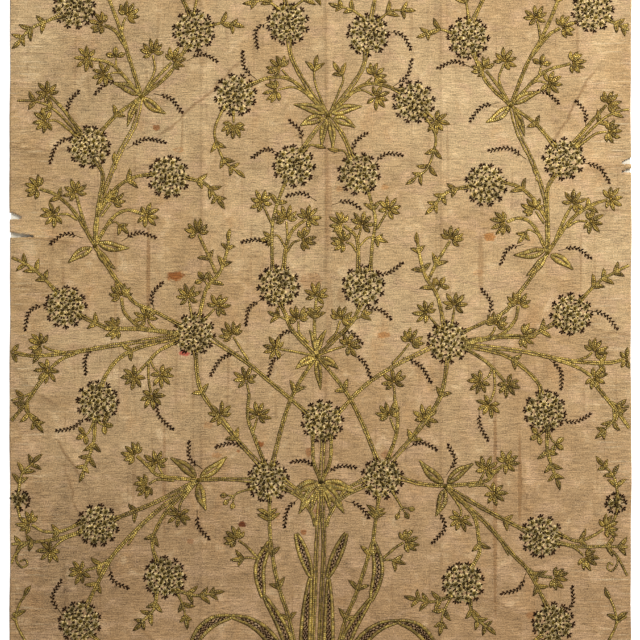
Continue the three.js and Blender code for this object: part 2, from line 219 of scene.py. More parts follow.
STEMS = [
    # Round the top crown of the middle
    Stem(((2, 216), (22, 242), (35, 266), (39, 284)), 2.4),
    Stem(((3, 224), (34, 246), (56, 249), (75, 243)), 2.0),
    Stem(((38, 249), (46, 256)), 1.1, Tip.BLOSSOM),
    Stem(((17, 233), (34, 241), (48, 238)), 1.3, Tip.BLOSSOM),
    Stem(((5, 224), (11, 240), (15, 252), (12, 261)), 1.2, Tip.POINT, (0.9,)),
    Stem(((6, 211), (14, 196), (24, 178)), 2.3),
    Stem(((22, 176), (17, 182), (12, 183)), 1.2, Tip.POINT),
    Stem(((103, 218), (111, 198), (109, 183), (101, 166), (90, 156)), 1.5, Tip.LEAF, (0.5, 0.75)),
    Stem(((92, 212), (91, 204)), 1.1, Tip.BLOSSOM, side=-1),
    Stem(((104, 222), (111, 215)), 1.1, Tip.BLOSSOM, side=1),
    # Round the upper side crown
    Stem(((186, 236), (198, 272), (208, 296), (219, 325), (230, 356)), 1.9, Tip.BLOSSOM, (0.82,)),
    Stem(((201, 280), (214, 300), (225, 308)), 1.9, Tip.BLOSSOM),
    Stem(((208, 294), (206, 306), (204, 314)), 1.4, Tip.BLOSSOM),
    Stem(((190, 240), (214, 264), (238, 272)), 1.7, Tip.BLOSSOM),
    Stem(((191, 240), (206, 254), (219, 254)), 1.3, Tip.BLOSSOM),
    Stem(((211, 262), (213, 273)), 1.0, Tip.TREFOIL),
    Stem(((180, 240), (173, 256), (175, 273)), 1.4, Tip.BLOSSOM),
    Stem(((183, 239), (170, 252), (156, 265)), 1.7, Tip.BLOSSOM),
    Stem(((181, 238), (160, 254), (145, 274)), 2.0),
    Stem(((224, 195), (210, 213), (193, 227)), 1.9, Tip.NONE, (0.45,)),
    Stem(((187, 229), (192, 204), (206, 173), (219, 138), (227, 110), (229, 88)), 2.5),
    Stem(((210, 156), (210, 162)), 0.9, Tip.POINT),
    Stem(((248, 196), (264, 216), (278, 232)), 1.7, Tip.BLOSSOM),
    Stem(((251, 194), (274, 217), (293, 226), (309, 226)), 1.5, Tip.NONE, (0.5, 0.75)),
    Stem(((254, 192), (268, 203), (279, 205)), 1.5, Tip.BLOSSOM),
    Stem(((273, 315), (297, 304), (309, 292)), 1.6, Tip.LEAF, (0.35, 0.65)),
    Stem(((252, 344), (264, 360)), 1.3, Tip.BLOSSOM),
    # Round the middle side crown
    Stem(((231, 90), (250, 116), (268, 132), (284, 137)), 1.9, Tip.BLOSSOM, (0.72,)),
    Stem(((246, 108), (256, 114), (266, 114)), 1.4, Tip.BLOSSOM),
    Stem(((236, 96), (243, 118), (248, 131)), 1.7, Tip.BLOSSOM),
    Stem(((229, 90), (226, 120), (222, 148), (228, 161)), 2.2),
    Stem(((223, 112), (213, 124)), 1.3, Tip.BLOSSOM),
    Stem(((225, 116), (209, 137), (192, 148), (177, 153)), 1.9, Tip.NONE, (0.62,)),
    Stem(((226, 92), (212, 110), (197, 117), (182, 113)), 1.8, Tip.BLOSSOM),
    Stem(((218, 102), (208, 106), (204, 102)), 1.0, Tip.LEAF),
    Stem(((139, 148), (121, 142), (108, 128)), 1.7, Tip.LEAF, (0.3, 0.65)),
    Stem(((227, 79), (208, 52), (198, 40), (186, 24), (168, 14), (148, 5)), 2.0),
    Stem(((149, -9), (178, -2), (194, 13), (198, 29)), 1.8, Tip.BLOSSOM),
    Stem(((160, -8), (171, 0), (174, 7)), 1.3, Tip.BLOSSOM),
    # Outwards from the heads at mid height
    Stem(((148, -7), (180, -3), (208, -2), (222, 4), (234, 10)), 2.3, Tip.NONE, (0.8,)),
    Stem(((158, -6), (180, -2), (200, -1)), 1.6, Tip.BLOSSOM),
    Stem(((149, -11), (200, -18), (246, -27), (284, -29), (304, -26)), 2.3, Tip.BLOSSOM, (0.84,)),
    Stem(((252, -27), (266, -24), (273, -19)), 1.4, Tip.BLOSSOM),
    Stem(((232, -24), (256, -33), (270, -43)), 1.8, Tip.BLOSSOM),
    Stem(((272, -48), (281, -61), (293, -76), (309, -96)), 2.0, Tip.NONE, (0.62,)),
    Stem(((288, -68), (300, -73), (309, -74)), 1.3, Tip.NONE, (0.4,)),
    Stem(((291, -74), (291, -88), (283, -98)), 1.2, Tip.LEAF, (0.5,)),
    Stem(((151, -13), (182, -21), (202, -34), (215, -50), (219, -60)), 2.1, Tip.NONE, (0.5,)),
    Stem(((147, -15), (163, -25), (173, -35), (184, -50)), 1.7, Tip.BLOSSOM),
    Stem(((172, -34), (168, -42), (162, -47)), 1.1, Tip.BLOSSOM),
    Stem(((173, -36), (173, -54), (169, -68)), 1.4, Tip.BLOSSOM),
    Stem(((262, 37), (278, 53), (294, 63), (309, 71)), 1.6, Tip.NONE, (0.3, 0.5, 0.72)),
    Stem(((131, 12), (134, 27)), 1.2, Tip.BLOSSOM),
    Stem(((122, 12), (116, 37), (104, 56), (97, 76), (95, 88)), 1.8, Tip.LEAF, (0.45, 0.68)),
    Stem(((107, 54), (116, 72), (126, 93)), 1.6, Tip.BLOSSOM, (0.35,)),
    Stem(((113, 39), (119, 48)), 1.1, Tip.TREFOIL),
    Stem(((116, 9), (107, 19)), 1.2, Tip.BLOSSOM),
    Stem(((72, -32), (82, -20), (89, -10)), 1.3, Tip.BLOSSOM),
    Stem(((109, -13), (76, -33), (44, -58), (16, -86)), 2.2),
    Stem(((73, -66), (74, -54)), 1.3, Tip.BLOSSOM),
    # Round the lower crown of the middle
    Stem(((7, -22), (27, 0), (36, 14), (42, 27)), 2.1),
    Stem(((33, 9), (42, 13)), 1.1, Tip.LEAF),
    Stem(((9, -14), (18, -4), (21, 8)), 1.4, Tip.BLOSSOM),
    Stem(((11, -26), (26, -22), (40, -20)), 1.5, Tip.BLOSSOM, side=-1),
    Stem(((4, -24), (16, -20), (28, -17)), 1.5, Tip.BLOSSOM, side=1),
    Stem(((52, -130), (39, -92), (24, -61), (6, -32)), 2.1, Tip.NONE, (0.64,)),
    Stem(((51, 62), (51, 90), (51, 115), (42, 144)), 1.6, Tip.NONE, (0.72,)),
    Stem(((53, 104), (62, 122)), 1.4, Tip.BLOSSOM),
    Stem(((38, 62), (37, 84), (31, 98), (19, 108)), 1.9, Tip.BLOSSOM),
    Stem(((36, 88), (38, 106)), 1.3, Tip.BLOSSOM),
    Stem(((37, 78), (30, 86), (24, 89)), 1.3, Tip.BLOSSOM),
    Stem(((39, 84), (46, 93), (54, 92)), 1.1, Tip.LEAF),
    # Round the foot of the middle
    Stem(((2, -150), (8, -131), (11, -110)), 1.8),
    Stem(((38, -157), (20, -168), (9, -184), (6, -196)), 2.0),
    Stem(((36, -149), (24, -160), (14, -173)), 1.9),
    Stem(((3, -165), (3, -215), (3, -262), (3, -320), (2, -372)), 2.3),
    Stem(((51, -214), (53, -190), (54, -168)), 1.8, Tip.NONE, (0.5, 0.6)),
    Stem(((6, -368), (22, -310), (29, -285), (38, -263), (45, -238), (51, -212)), 2.2, Tip.NONE,
         (0.5, 0.70, 0.92)),
    Stem(((61, -228), (74, -216), (82, -211)), 1.5, Tip.BLOSSOM),
    Stem(((61, -229), (70, -227), (76, -229)), 1.1, Tip.LEAF),
    Stem(((73, -157), (84, -162), (88, -165)), 1.2, Tip.BUD, side=-1),
    Stem(((70, -166), (78, -176)), 1.2, Tip.BUD, side=1),
    Stem(((76, -148), (98, -150), (117, -151)), 2.2),
    Stem(((64, -132), (83, -113), (103, -87), (121, -60), (127, -28)), 2.3, Tip.NONE, (0.26, 0.68)),
    Stem(((61, -130), (70, -108), (75, -88), (73, -66)), 1.8),
    Stem(((71, -104), (66, -88)), 1.4, Tip.BLOSSOM),
    Stem(((86, -109), (100, -88)), 1.5, Tip.BLOSSOM),
    # Round the lower side crown
    Stem(((127, -151), (160, -148), (172, -138), (183, -130)), 1.9, Tip.BLOSSOM),
    Stem(((156, -148), (162, -137)), 1.2, Tip.BLOSSOM),
    Stem(((146, -152), (162, -152), (170, -157)), 1.4, Tip.BLOSSOM),
    Stem(((126, -153), (164, -175), (201, -193)), 2.3, Tip.NONE, (0.72,)),
    Stem(((126, -156), (164, -187), (194, -218), (210, -237), (228, -273)), 2.2, Tip.NONE, (0.84,)),
    Stem(((176, -196), (190, -219)), 1.2),
    Stem(((207, -232), (220, -240), (233, -244)), 1.6, Tip.BLOSSOM, (0.35,)),
    Stem(((127, -158), (150, -180), (161, -203), (163, -218), (159, -229)), 2.0, Tip.NONE, (0.7,)),
    Stem(((128, -160), (138, -173), (139, -183)), 1.5, Tip.BLOSSOM),
    Stem(((156, -262), (160, -280), (172, -293)), 1.6, Tip.LEAF, (0.3, 0.62)),
    Stem(((137, -262), (118, -267), (102, -264)), 1.6, Tip.LEAF, (0.32, 0.66)),
    Stem(((134, -264), (130, -277), (128, -288)), 1.2, Tip.LEAF, (0.5,)),
    Stem(((239, -196), (256, -205), (272, -204), (284, -197)), 1.6, Tip.BLOSSOM, (0.45,)),
    Stem(((240, -208), (262, -212), (288, -214), (309, -216)), 1.7, Tip.NONE, (0.7, 0.86)),
    Stem(((284, -213), (298, -223), (308, -243)), 1.5),
    Stem(((299, -226), (298, -234), (294, -239), (289, -236), (291, -231), (295, -233)), 1.1),
    Stem(((240, -209), (254, -213), (264, -222)), 1.4, Tip.BLOSSOM),
    Stem(((286, -196), (294, -190), (300, -182)), 1.4),
    Stem(((300, -160), (294, -146), (283, -134)), 1.5, Tip.LEAF, (0.3, 0.6)),
    Stem(((226, -98), (226, -118), (236, -144)), 1.8, Tip.LEAF, (0.45, 0.7)),
    Stem(((226, -99), (231, -107), (234, -110)), 1.1, Tip.TREFOIL),
    Stem(((225, -96), (220, -99), (217, -101)), 1.0, Tip.TREFOIL),
    Stem(((286, -318), (299, -293), (297, -277), (292, -266)), 1.5, Tip.POINT, (0.6,)),
    Stem(((298, -292), (309, -284)), 1.3),
    # Finishing the pattern past the top and the foot of what is seen
    Stem(((36, 318), (24, 324), (12, 328)), 1.3, Tip.LEAF, (0.5,)),
    Stem(((50, 316), (62, 324), (74, 323)), 1.3, Tip.LEAF, (0.4,)),
    Stem(((42, 320), (50, 346), (66, 371)), 1.9),
    Stem(((52, 348), (42, 362)), 1.3, Tip.BLOSSOM),
    Stem(((118, 303), (106, 305), (97, 302)), 1.3, Tip.LEAF, (0.5,)),
    Stem(((140, 316), (158, 346), (183, 371)), 1.9),
    Stem(((137, 316), (133, 334), (126, 346)), 1.4, Tip.LEAF, (0.5,)),
    Stem(((156, 342), (142, 358)), 1.3, Tip.BLOSSOM),
    Stem(((238, -312), (242, -336), (232, -358)), 1.6, Tip.LEAF, (0.35, 0.7)),
    Stem(((222, -308), (198, -322), (164, -328)), 1.6, Tip.BLOSSOM, (0.5,)),
    Stem(((286, -318), (276, -342), (270, -372)), 1.5, Tip.LEAF, (0.5,)),
]
MIDDLE_STEMS = [
    Stem(((0, -24), (-3, 4), (-5, 31)), 1.6, Tip.BLOSSOM, (0.64, 0.72)),
    Stem(((0, -150), (1, -112)), 2.7),
]

LEAVES = [
    Leaf((4, 216), (32, 224)), Leaf((5, 212), (26, 204)), Leaf((1, 210), (5, 184), 3.2, 0.3),
    Leaf((187, 234), (212, 245)), Leaf((183, 231), (162, 216)),
    Leaf((188, 228), (198, 203), 3.0, 0.3),
    Leaf((225, 86), (196, 81), 4.8), Leaf((231, 81), (252, 67)), Leaf((226, 80), (208, 61), 3.6),
    Leaf((3, -29), (20, -39), 3.8, 0.3), Leaf((1, -22), (8, -2), 2.8, 0.3),
    Leaf((124, -149), (148, -131), 4.8), Leaf((120, -149), (97, -129), 4.8),
    Leaf((121, -155), (114, -180), 4.8), Leaf((3, -152), (30, -162), 5.0, 0.3),
    Leaf((2, -154), (21, -181), 5.0, 0.7), Leaf((2, -158), (9, -181), 2.4, 0.3),
]
MIDDLE_LEAVES = [Leaf((0, -31), (1, -59), 3.4, 0.5)]

BLADES = [
    Blade(((8, -247), (15, -228), (25, -203)), 3.9),
    Blade(((54, -268), (59, -238), (52, -211)), 4.0),
    Blade(((7, -372), (20, -336), (34, -298), (53, -266)), 4.1),
    Blade(((6, -372), (11, -330), (11, -285), (9, -248)), 4.2),
    Blade(((8, -372), (26, -340), (46, -308), (64, -293), (83, -287)), 4.9),
    Blade(((83, -287), (100, -292), (113, -303), (124, -322)), 4.4),
]

SPRIGS = [
    Sprig((72, 252), (85, 275), -4), Sprig((60, 298), (70, 277), 6.5, -1),
    Sprig((62, 300), (83, 285), 5, 1),
    Sprig((27, 186), (38, 208), 4, -1), Sprig((28, 182), (40, 200), 4, 1),
    Sprig((50, 172), (74, 169), 5, -1), Sprig((51, 171), (77, 179), 5, 1),
    Sprig((136, 267), (110, 266), -5), Sprig((208, 244), (232, 234), 4),
    Sprig((168, 232), (144, 215), -4), Sprig((194, 178), (161, 184), -5),
    Sprig((256, 212), (248, 236), -4),
    Sprig((255, 186), (276, 162), 5, -1), Sprig((258, 171), (284, 154), 5, 1),
    Sprig((246, 90), (272, 85), 5, -1), Sprig((244, 84), (271, 77), 5, 1),
    Sprig((196, 88), (168, 90), -5, -1), Sprig((200, 88), (180, 71), -5, 1),
    Sprig((225, -24), (235, -50), 4, -1), Sprig((228, -29), (239, -56), 5, 1),
    Sprig((163, -76), (148, -102), 4, -1), Sprig((159, -80), (166, -107), -3, 1),
    Sprig((273, 20), (292, -3), 6, -1), Sprig((272, 21), (297, 5), 4, 1),
    Sprig((166, 20), (160, 45), -5),
    Sprig((87, -28), (111, -49), 4), Sprig((61, 27), (76, 3), 5, -1), Sprig((47, 17), (72, 12), 5, 1),
    Sprig((54, 82), (82, 87), 4, -1), Sprig((54, 58), (82, 68), -4, 1),
    Sprig((22, -6), (44, -14), 5), Sprig((36, -29), (51, -48), 4),
    Sprig((8, -139), (33, -131), 4, -1), Sprig((9, -144), (32, -138), 4, 1),
    Sprig((24, -171), (38, -196), 4, -1), Sprig((27, -174), (46, -188), 3, 1),
    Sprig((80, -119), (106, -118), 4, -1), Sprig((87, -118), (113, -116), 5, 1),
    Sprig((120, -186), (108, -210), 4, -1), Sprig((113, -180), (114, -209), 8, 1),
    Sprig((120, -136), (132, -113), -5, -1), Sprig((123, -135), (124, -111), -6, 1),
    Sprig((204, -241), (186, -259), 5.5),
    Sprig((254, -279), (255, -251), -7, -1), Sprig((241, -278), (254, -254), -7, 1),
    Sprig((238, -92), (263, -106), -4, -1), Sprig((241, -85), (269, -81), -4, 1),
    Sprig((14, 127), (39, 131), 4, -1), Sprig((12, 129), (35, 126), 4, 1),
    Sprig((92, 384), (116, 372), 4),
    Sprig((170, -330), (196, -338), -4), Sprig((62, -330), (90, -334), 4),
]


@dataclass
class Drawing:
    """The pattern as the hand drew it, mirrored about a line that leans a little.

    Args:
        foot: X of the middle line at the panel's middle.
        lean: How far the line leans, as a share of its height.
        reach: How near a strayed flower pulls its neighbours along.
    """

    foot: float = 2.0
    lean: float = 0.022
    reach: float = 14.0

    def __post_init__(self) -> None:
        """Gathers where the hand strayed, for each half of the pattern."""
        self.strays: dict[int, tuple[Points, Points]] = {}
        for side in (-1, 1):
            marks = [*HEADS, *MIDDLE_HEADS, *CROWNS]
            places = np.array([self.true_place(side, (m.out, m.up)) for m in marks])
            moves = np.array([m.left if side < 0 else m.right for m in marks], dtype=float)
            self.strays[side] = (places, moves)
        halves = [self.strays[-1], self.strays[1]]
        self.strays[0] = tuple(np.concatenate(part) for part in zip(*halves))

    def true_place(self, side: int, point: Pair) -> np.ndarray:
        """The X and Y of an (out, up) pair where the pattern mirrors exactly."""
        sign = -1 if side < 0 else 1
        return np.array([self.foot + self.lean * point[1] + sign * point[0], float(point[1])])

    def place(self, side: int, point: Pair) -> np.ndarray:
        """The X and Y of an (out, up) pair as drawn.

        Args:
            side: -1 for the left half, 1 for the right, 0 for the middle.
            point: The pair.

        Returns:
            Its place on the panel.
        """
        true = self.true_place(side, point)
        places, moves = self.strays[side]
        near = 1.0 / (((places - true) ** 2).sum(axis=1) + self.reach**2) ** 2
        return true + (moves * near[:, None]).sum(axis=0) / near.sum()


# The cloth's shape


@dataclass(frozen=True)
class Fold:
    """A soft fold of the silk, from one point to another along its ridge.

    Args:
        x0: X of its start.
        y0: Y of its start.
        x1: X of its end.
        y1: Y of its end.
        half: Half of its width.
        rise: Height of its ridge.
    """

    x0: float
    y0: float
    x1: float
    y1: float
    half: float
    rise: float


@dataclass(frozen=True)
class Tear:
    """A tear that is open to a side edge.

    Args:
        side: -1 at the left edge, 1 at the right.
        y: Height on the panel.
        reach: How far in it goes.
        gape: How wide it is at the edge.
    """

    side: int
    y: float
    reach: float
    gape: float


FOLDS = [
    Fold(-164, 190, -74, 272, 13, 2.2), Fold(277, 264, 232, 186, 13, 2.4),
    Fold(-264, -105, -236, -156, 13, 2.2), Fold(-256, -136, -240, -190, 12, 1.7),
    Fold(-186, -288, -150, -330, 12, 1.8), Fold(156, -266, 206, -283, 12, 1.6),
    Fold(268, 3, 311, -7, 12, 1.6), Fold(-311, 182, -246, 178, 11, 1.6),
    Fold(-311, 152, -252, 148, 10, 1.3), Fold(-311, 96, -244, 86, 12, 1.8),
    Fold(-304, -44, -268, -76, 11, 1.4), Fold(-112, -247, -66, -243, 10, 1.1),
    Fold(311, 166, 268, 160, 11, 1.4), Fold(311, 118, 262, 124, 11, 1.2),
    Fold(198, -124, 205, -182, 12, 1.4), Fold(174, -88, 172, -300, 9, 0.8),
    Fold(-60, 394, 40, 372, 12, 1.3), Fold(-240, -372, -150, -392, 13, 1.6),
    Fold(120, -388, 216, -370, 12, 1.4),
]
TEARS = [Tear(-1, 114, 12, 7.5), Tear(-1, 95, 25, 5.5), Tear(1, 169, 10, 7), Tear(1, 159.5, 9, 4.6)]
# The X of each storage crease and how far it lifts the silk
STORAGE_CREASES = ((-118.5, 0.7), (6.0, 0.9), (121.0, 0.7))
# Where the silk's grid has lines beside a storage crease, for its crisp ridge
CREASE_LINES = (-1.7, -0.8, 0.0, 0.8, 1.7)


def ridge(distance: Points, half: float) -> Points:
    """A soft ridge across its width.

    Args:
        distance: Distances from the ridge line.
        half: Half of the ridge's width.

    Returns:
        1 on the line, falling smoothly to 0 at the foot.
    """
    share = np.clip(distance / half, 0.0, 1.0)
    return 0.5 + 0.5 * np.cos(np.pi * share)


@dataclass
class SilkSurface:
    """The height of the silk's face everywhere.

    Args:
        width: Width of the cloth.
        length: Length of the cloth.
        back: Least height of its back over the floor.
        thick: Its thickness.
        cockle: How far it waves up and down.
        crease_half: Half of the width of the swell under a storage crease.
        crisp_half: Half of the width of a storage crease's crisp ridge.
        crisp_rise: Height of that ridge.
    """

    width: float = 622.0
    length: float = 860.0
    back: float = 1.3
    thick: float = 1.2
    cockle: float = 0.35
    crease_half: float = 10.0
    crisp_half: float = 1.6
    crisp_rise: float = 0.3

    def height(self, x: Points, y: Points) -> Points:
        """The height of the face.

        Args:
            x: Positions across the panel.
            y: Positions along the panel.

        Returns:
            The height at each position.
        """
        waves = 2 + np.sin(x / 41 + y / 67) + np.sin(x / 73 - y / 49 + 1.3)
        most = np.zeros_like(x)
        crisp = np.zeros_like(x)
        for at, rise in STORAGE_CREASES:
            most = np.maximum(most, rise * ridge(np.abs(x - at), self.crease_half))
            crisp += self.crisp_rise * ridge(np.abs(x - at), self.crisp_half)
        for fold in FOLDS:
            most = np.maximum(most, self.fold_height(fold, x, y))
        return self.back + self.thick + self.cockle * waves * 0.5 + most + crisp

    def fold_height(self, fold: Fold, x: Points, y: Points) -> Points:
        """How far one fold lifts the silk.

        Args:
            fold: The fold.
            x: Positions across the panel.
            y: Positions along the panel.

        Returns:
            The lift at each position.
        """
        run = np.array([fold.x1 - fold.x0, fold.y1 - fold.y0])
        length = float(np.hypot(*run))
        along = run / length
        dx, dy = x - fold.x0, y - fold.y0
        off = np.abs(dx * along[1] - dy * along[0])
        fading = np.maximum(0, np.abs(dx * along[0] + dy * along[1] - length / 2) - length / 6)
        return fold.rise * ridge(off, fold.half) * ridge(fading, length / 3 + fold.half)


# The small forms of the embroidery


@dataclass(frozen=True)
class Knot:
    """A small dome of thread: a knot, a petal or a heart.

    Args:
        half_long: Half of its length.
        half_wide: Half of its width.
        high: Its height.
        thread: Its thread.
        sides: How many sides it has.
        taper: How much its width shrinks towards its start, from 0 to 1.
    """

    half_long: float
    half_wide: float
    high: float
    thread: Thread
    sides: int = 6
    taper: float = 0.0


@dataclass(frozen=True)
class Loop:
    """A small ring of thread.

    Args:
        radius: Radius of its middle line.
        half: Half of the thread's width.
        high: Height of the thread.
        thread: Its thread.
        sides: How many sides it has.
    """

    radius: float
    half: float
    high: float
    thread: Thread
    sides: int = 10


FLORET_GROUND = Knot(5.3, 5.0, 0.25, Thread.CREAM, 8)
FLORET_HEART = Knot(2.3, 2.05, 1.1, Thread.OLIVE, 7)
# The floret's ring takes the lighter gilt of the painted highlights
FLORET_RING = Loop(2.75, 0.48, 0.8, Thread.GILT_HIGHLIGHT)
BROWN_PETAL = Knot(1.5, 1.0, 1.0, Thread.OUTLINE, taper=0.25)
DARK_PETAL = Knot(1.5, 1.0, 1.0, Thread.FLORET, taper=0.25)
RIM_PETAL = Knot(2.0, 1.2, 0.95, Thread.FLORET, taper=0.4)
RIM_STALK = Knot(2.3, 0.75, 0.7, Thread.OLIVE, taper=0.3)
SPRIG_KNOT = Knot(1.85, 1.1, 0.9, Thread.FLORET, taper=0.3)
SPRIG_TIP = Knot(1.8, 1.05, 0.9, Thread.FLORET, taper=0.3)
FILLING_KNOT = Knot(1.5, 1.05, 0.8, Thread.FLORET, taper=0.2)
BLOSSOM_HEART = Knot(1.5, 1.3, 1.2, Thread.GILT)
CROWN_HEART = Knot(2.6, 2.1, 1.5, Thread.OLIVE, 10)

# Headings of a blossom's lobes in degrees, seen from its side and from above
CUPPED_SPREAD = (0, 33, -33, 66, -66, 100, -100)
OPEN_SPREAD = (0, 40, -40, 82, -82, 126, -126)
# Their lengths, as shares of a lobe's usual one
LOBE_SHARES = (1.0, 1.02, 1.02, 1.0, 1.0, 0.86, 0.86)
# Half width from which a sewn form stands at its full height
FULL_HALF = 0.7
# Fewest points of a stem's line that is worth sewing
LEAST_STATIONS = 4


# Meshes


class MeshBuffer:
    """Gathers the faces of one piece. Its points lie in plan, with a lift above the silk."""

    def __init__(self) -> None:
        """Starts with no faces."""
        self.plan: list[Points] = []
        self.stitch: list[Points] = []
        self.faces: list[tuple[int, ...]] = []
        self.slots: list[int] = []
        self.count = 0

    def add(self, plan: Points, stitch: Points) -> int:
        """Adds points.

        Args:
            plan: Rows of x, y and lift.
            stitch: Rows of the way along the thread, across it, and a number of the shape.

        Returns:
            The index of the first point.
        """
        first = self.count
        self.plan.append(plan)
        self.stitch.append(stitch)
        self.count += len(plan)
        return first

    def face(self, corners: tuple[int, ...], slot: int) -> None:
        """Adds one face with the index of its material slot."""
        self.faces.append(corners)
        self.slots.append(slot)

    def strip(self, rows: Points, stitch: Points, slots: list[int]) -> None:
        """Adds a closed strip whose cross-section changes along it.

        Args:
            rows: Array of stations by columns by 3, from its left side to its right.
            stitch: Array of the same shape for the stitch attribute.
            slots: The material slot of each column's faces.
        """
        stations, columns = rows.shape[:2]
        first = self.add(rows.reshape(-1, 3), stitch.reshape(-1, 3))
        for i in range(stations - 1):
            low, high = first + i * columns, first + (i + 1) * columns
            for j in range(columns - 1):
                self.face((low + j + 1, low + j, high + j, high + j + 1), slots[j])
            self.face((low, low + columns - 1, high + columns - 1, high), slots[0])
        last = first + (stations - 1) * columns
        self.face(tuple(range(first, first + columns)), slots[0])
        self.face(tuple(range(last + columns - 1, last - 1, -1)), slots[0])

    def dome(self, centre: np.ndarray, angle: float, knot: Knot, size: float = 1.0) -> None:
        """Adds a small closed dome.

        Args:
            centre: Its x and y.
            angle: The way its length runs, in radians.
            knot: Its shape and its thread.
            size: Its size in plan, as a share of the usual one.
        """
        sides, high, slot = knot.sides, knot.high, knot.thread.value
        turn = np.arange(sides) * (2 * np.pi / sides)
        along = np.cos(turn)
        across = np.sin(turn) * (1 - knot.taper * (0.5 - 0.5 * along))
        ways = np.array([[math.cos(angle), math.sin(angle)], [-math.sin(angle), math.cos(angle)]])
        long, wide = knot.half_long * size, knot.half_wide * size
        base = np.stack([along * long, across * wide], axis=1)
        rings = [(base, -0.3), (base * 0.78, high * 0.75)]
        plan = [np.column_stack([ring @ ways + centre, np.full(sides, z)]) for ring, z in rings]
        plan.append(np.array([[centre[0], centre[1], high]]))
        stitch = [np.column_stack([ring, np.full(sides, centre[0])]) for ring, _ in rings]
        stitch.append(np.array([[0.0, 0.0, centre[0]]]))
        first = self.add(np.concatenate(plan), np.concatenate(stitch))
        top = first + 2 * sides
        for k in range(sides):
            after = (k + 1) % sides
            self.face((first + k, first + after, first + sides + after, first + sides + k), slot)
            self.face((first + sides + k, first + sides + after, top), slot)
        self.face(tuple(range(first + sides - 1, first - 1, -1)), slot)

    def ring(self, centre: np.ndarray, loop: Loop, size: float) -> None:
        """Adds a small closed ring of thread.

        Args:
            centre: Its x and y.
            loop: Its shape and its thread.
            size: Its radius, as a share of the usual one.
        """
        sides, half, slot = loop.sides, loop.half, loop.thread.value
        radius = loop.radius * size
        turn = np.arange(sides) * (2 * np.pi / sides)
        way = np.column_stack([np.cos(turn), np.sin(turn)])
        rows = [(radius - half, -0.2), (radius, loop.high), (radius + half, -0.2)]
        plan = [np.column_stack([way * r + centre, np.full(sides, z)]) for r, z in rows]
        length = turn * radius
        stitch = [np.column_stack([length, np.full(sides, r - radius), np.full(sides, centre[0])])
                  for r, _ in rows]
        first = self.add(np.concatenate(plan), np.concatenate(stitch))
        for k in range(sides):
            after = (k + 1) % sides
            for low in range(3):
                up = (low + 1) % 3
                a, b = first + low * sides, first + up * sides
                self.face((a + after, a + k, b + k, b + after), slot)

    def build(
        self, name: str, surface: SilkSurface, materials: list[Material]
    ) -> Piece:
        """Makes the piece, laid on the silk.

        Args:
            name: The piece's name.
            surface: The silk's face.
            materials: The materials of its slots.

        Returns:
            The piece.
        """
        plan = np.concatenate(self.plan)
        plan[:, 2] += surface.height(plan[:, 0], plan[:, 1])
        piece = mesh_piece(name, plan, self.faces, materials, self.slots)
        named = piece.data.attributes.new("stitch", "FLOAT_VECTOR", "POINT")
        named.data.foreach_set("vector", np.concatenate(self.stitch).astype(np.float32).ravel())
        return piece


def mesh_piece(
    name: str, points: Points, faces: list[tuple[int, ...]],
    materials: list[Material], slots: list[int] | None = None,
) -> Piece:
    """Makes a smooth-shaded piece from points in millimetres.

    Args:
        name: The piece's name.
        points: Rows of x, y and z.
        faces: Corners of each face.
        materials: The materials of its slots.
        slots: The material slot of each face, or None for the first.

    Returns:
        The piece, linked to the scene.
    """
    mesh = bpy.data.meshes.new(name)
    mesh.from_pydata((points * MM).tolist(), [], faces)
    for material in materials:
        mesh.materials.append(material)
    if slots is not None:
        mesh.polygons.foreach_set("material_index", np.array(slots, dtype=np.int32))
    mesh.polygons.foreach_set("use_smooth", np.ones(len(faces), dtype=bool))
    mesh.update()
    piece = bpy.data.objects.new(name, mesh)
    bpy.context.scene.collection.objects.link(piece)
    return piece


def smooth_line(points: list[np.ndarray], step: float) -> Points:
    """A smooth line through points.

    Args:
        points: The points, each x and y.
        step: The spacing of the result.

    Returns:
        Evenly spaced points on the line.
    """
    guide = np.array(points, dtype=float)
    if len(guide) == 2:
        fine = guide[0] + np.linspace(0, 1, 24)[:, None] * (guide[1] - guide[0])
    else:
        ends = np.vstack([2 * guide[0] - guide[1], guide, 2 * guide[-1] - guide[-2]])
        pieces = []
        for a, b, c, d in zip(ends, ends[1:], ends[2:], ends[3:]):
            t = np.linspace(0, 1, 24, endpoint=False)[:, None]
            pieces.append(
                0.5 * (2 * b + (c - a) * t + (2 * a - 5 * b + 4 * c - d) * t**2
                       + (3 * b - a - 3 * c + d) * t**3)
            )
        fine = np.vstack(pieces + [guide[-1:]])
    run = np.concatenate([[0], np.cumsum(np.hypot(*np.diff(fine, axis=0).T))])
    count = max(3, int(round(run[-1] / step)) + 1)
    places = np.linspace(0, run[-1], count)
    return np.column_stack([np.interp(places, run, fine[:, k]) for k in range(2)])


def left_of(line: Points) -> Points:
    """The way to the left of a line at each of its points.

    Args:
        line: The points.

    Returns:
        A unit step at each point.
    """
    run = np.gradient(line, axis=0)
    run /= np.maximum(np.hypot(*run.T), 1e-9)[:, None]
    return np.column_stack([-run[:, 1], run[:, 0]])


def bowed(start: np.ndarray, end: np.ndarray, bow: float) -> list[np.ndarray]:
    """Three points of a line that bows to its left.

    Args:
        start: Where it starts.
        end: Where it ends.
        bow: How far its middle stands off.

    Returns:
        The start, the middle and the end.
    """
    run = end - start
    left = np.array([-run[1], run[0]]) / np.hypot(*run)
    return [start, (start + end) / 2 + left * bow, end]


# Spots and finishes


@dataclass(frozen=True)
class Spot:
    """An oval spot of the silk.

    Args:
        x: Its place across the panel.
        y: Its place along the panel.
        half_x: Half of its width.
        half_y: Half of its height.
    """

    x: float
    y: float
    half_x: float
    half_y: float


@dataclass(frozen=True)
class Stain(Spot):
    """A stain.

    Args:
        tint: The colour that it turns the silk towards.
        strength: How strong it is, from 0 to 1.
        hollow: Whether only its rim is dark.
    """

    tint: Colour
    strength: float = 0.6
    hollow: bool = False


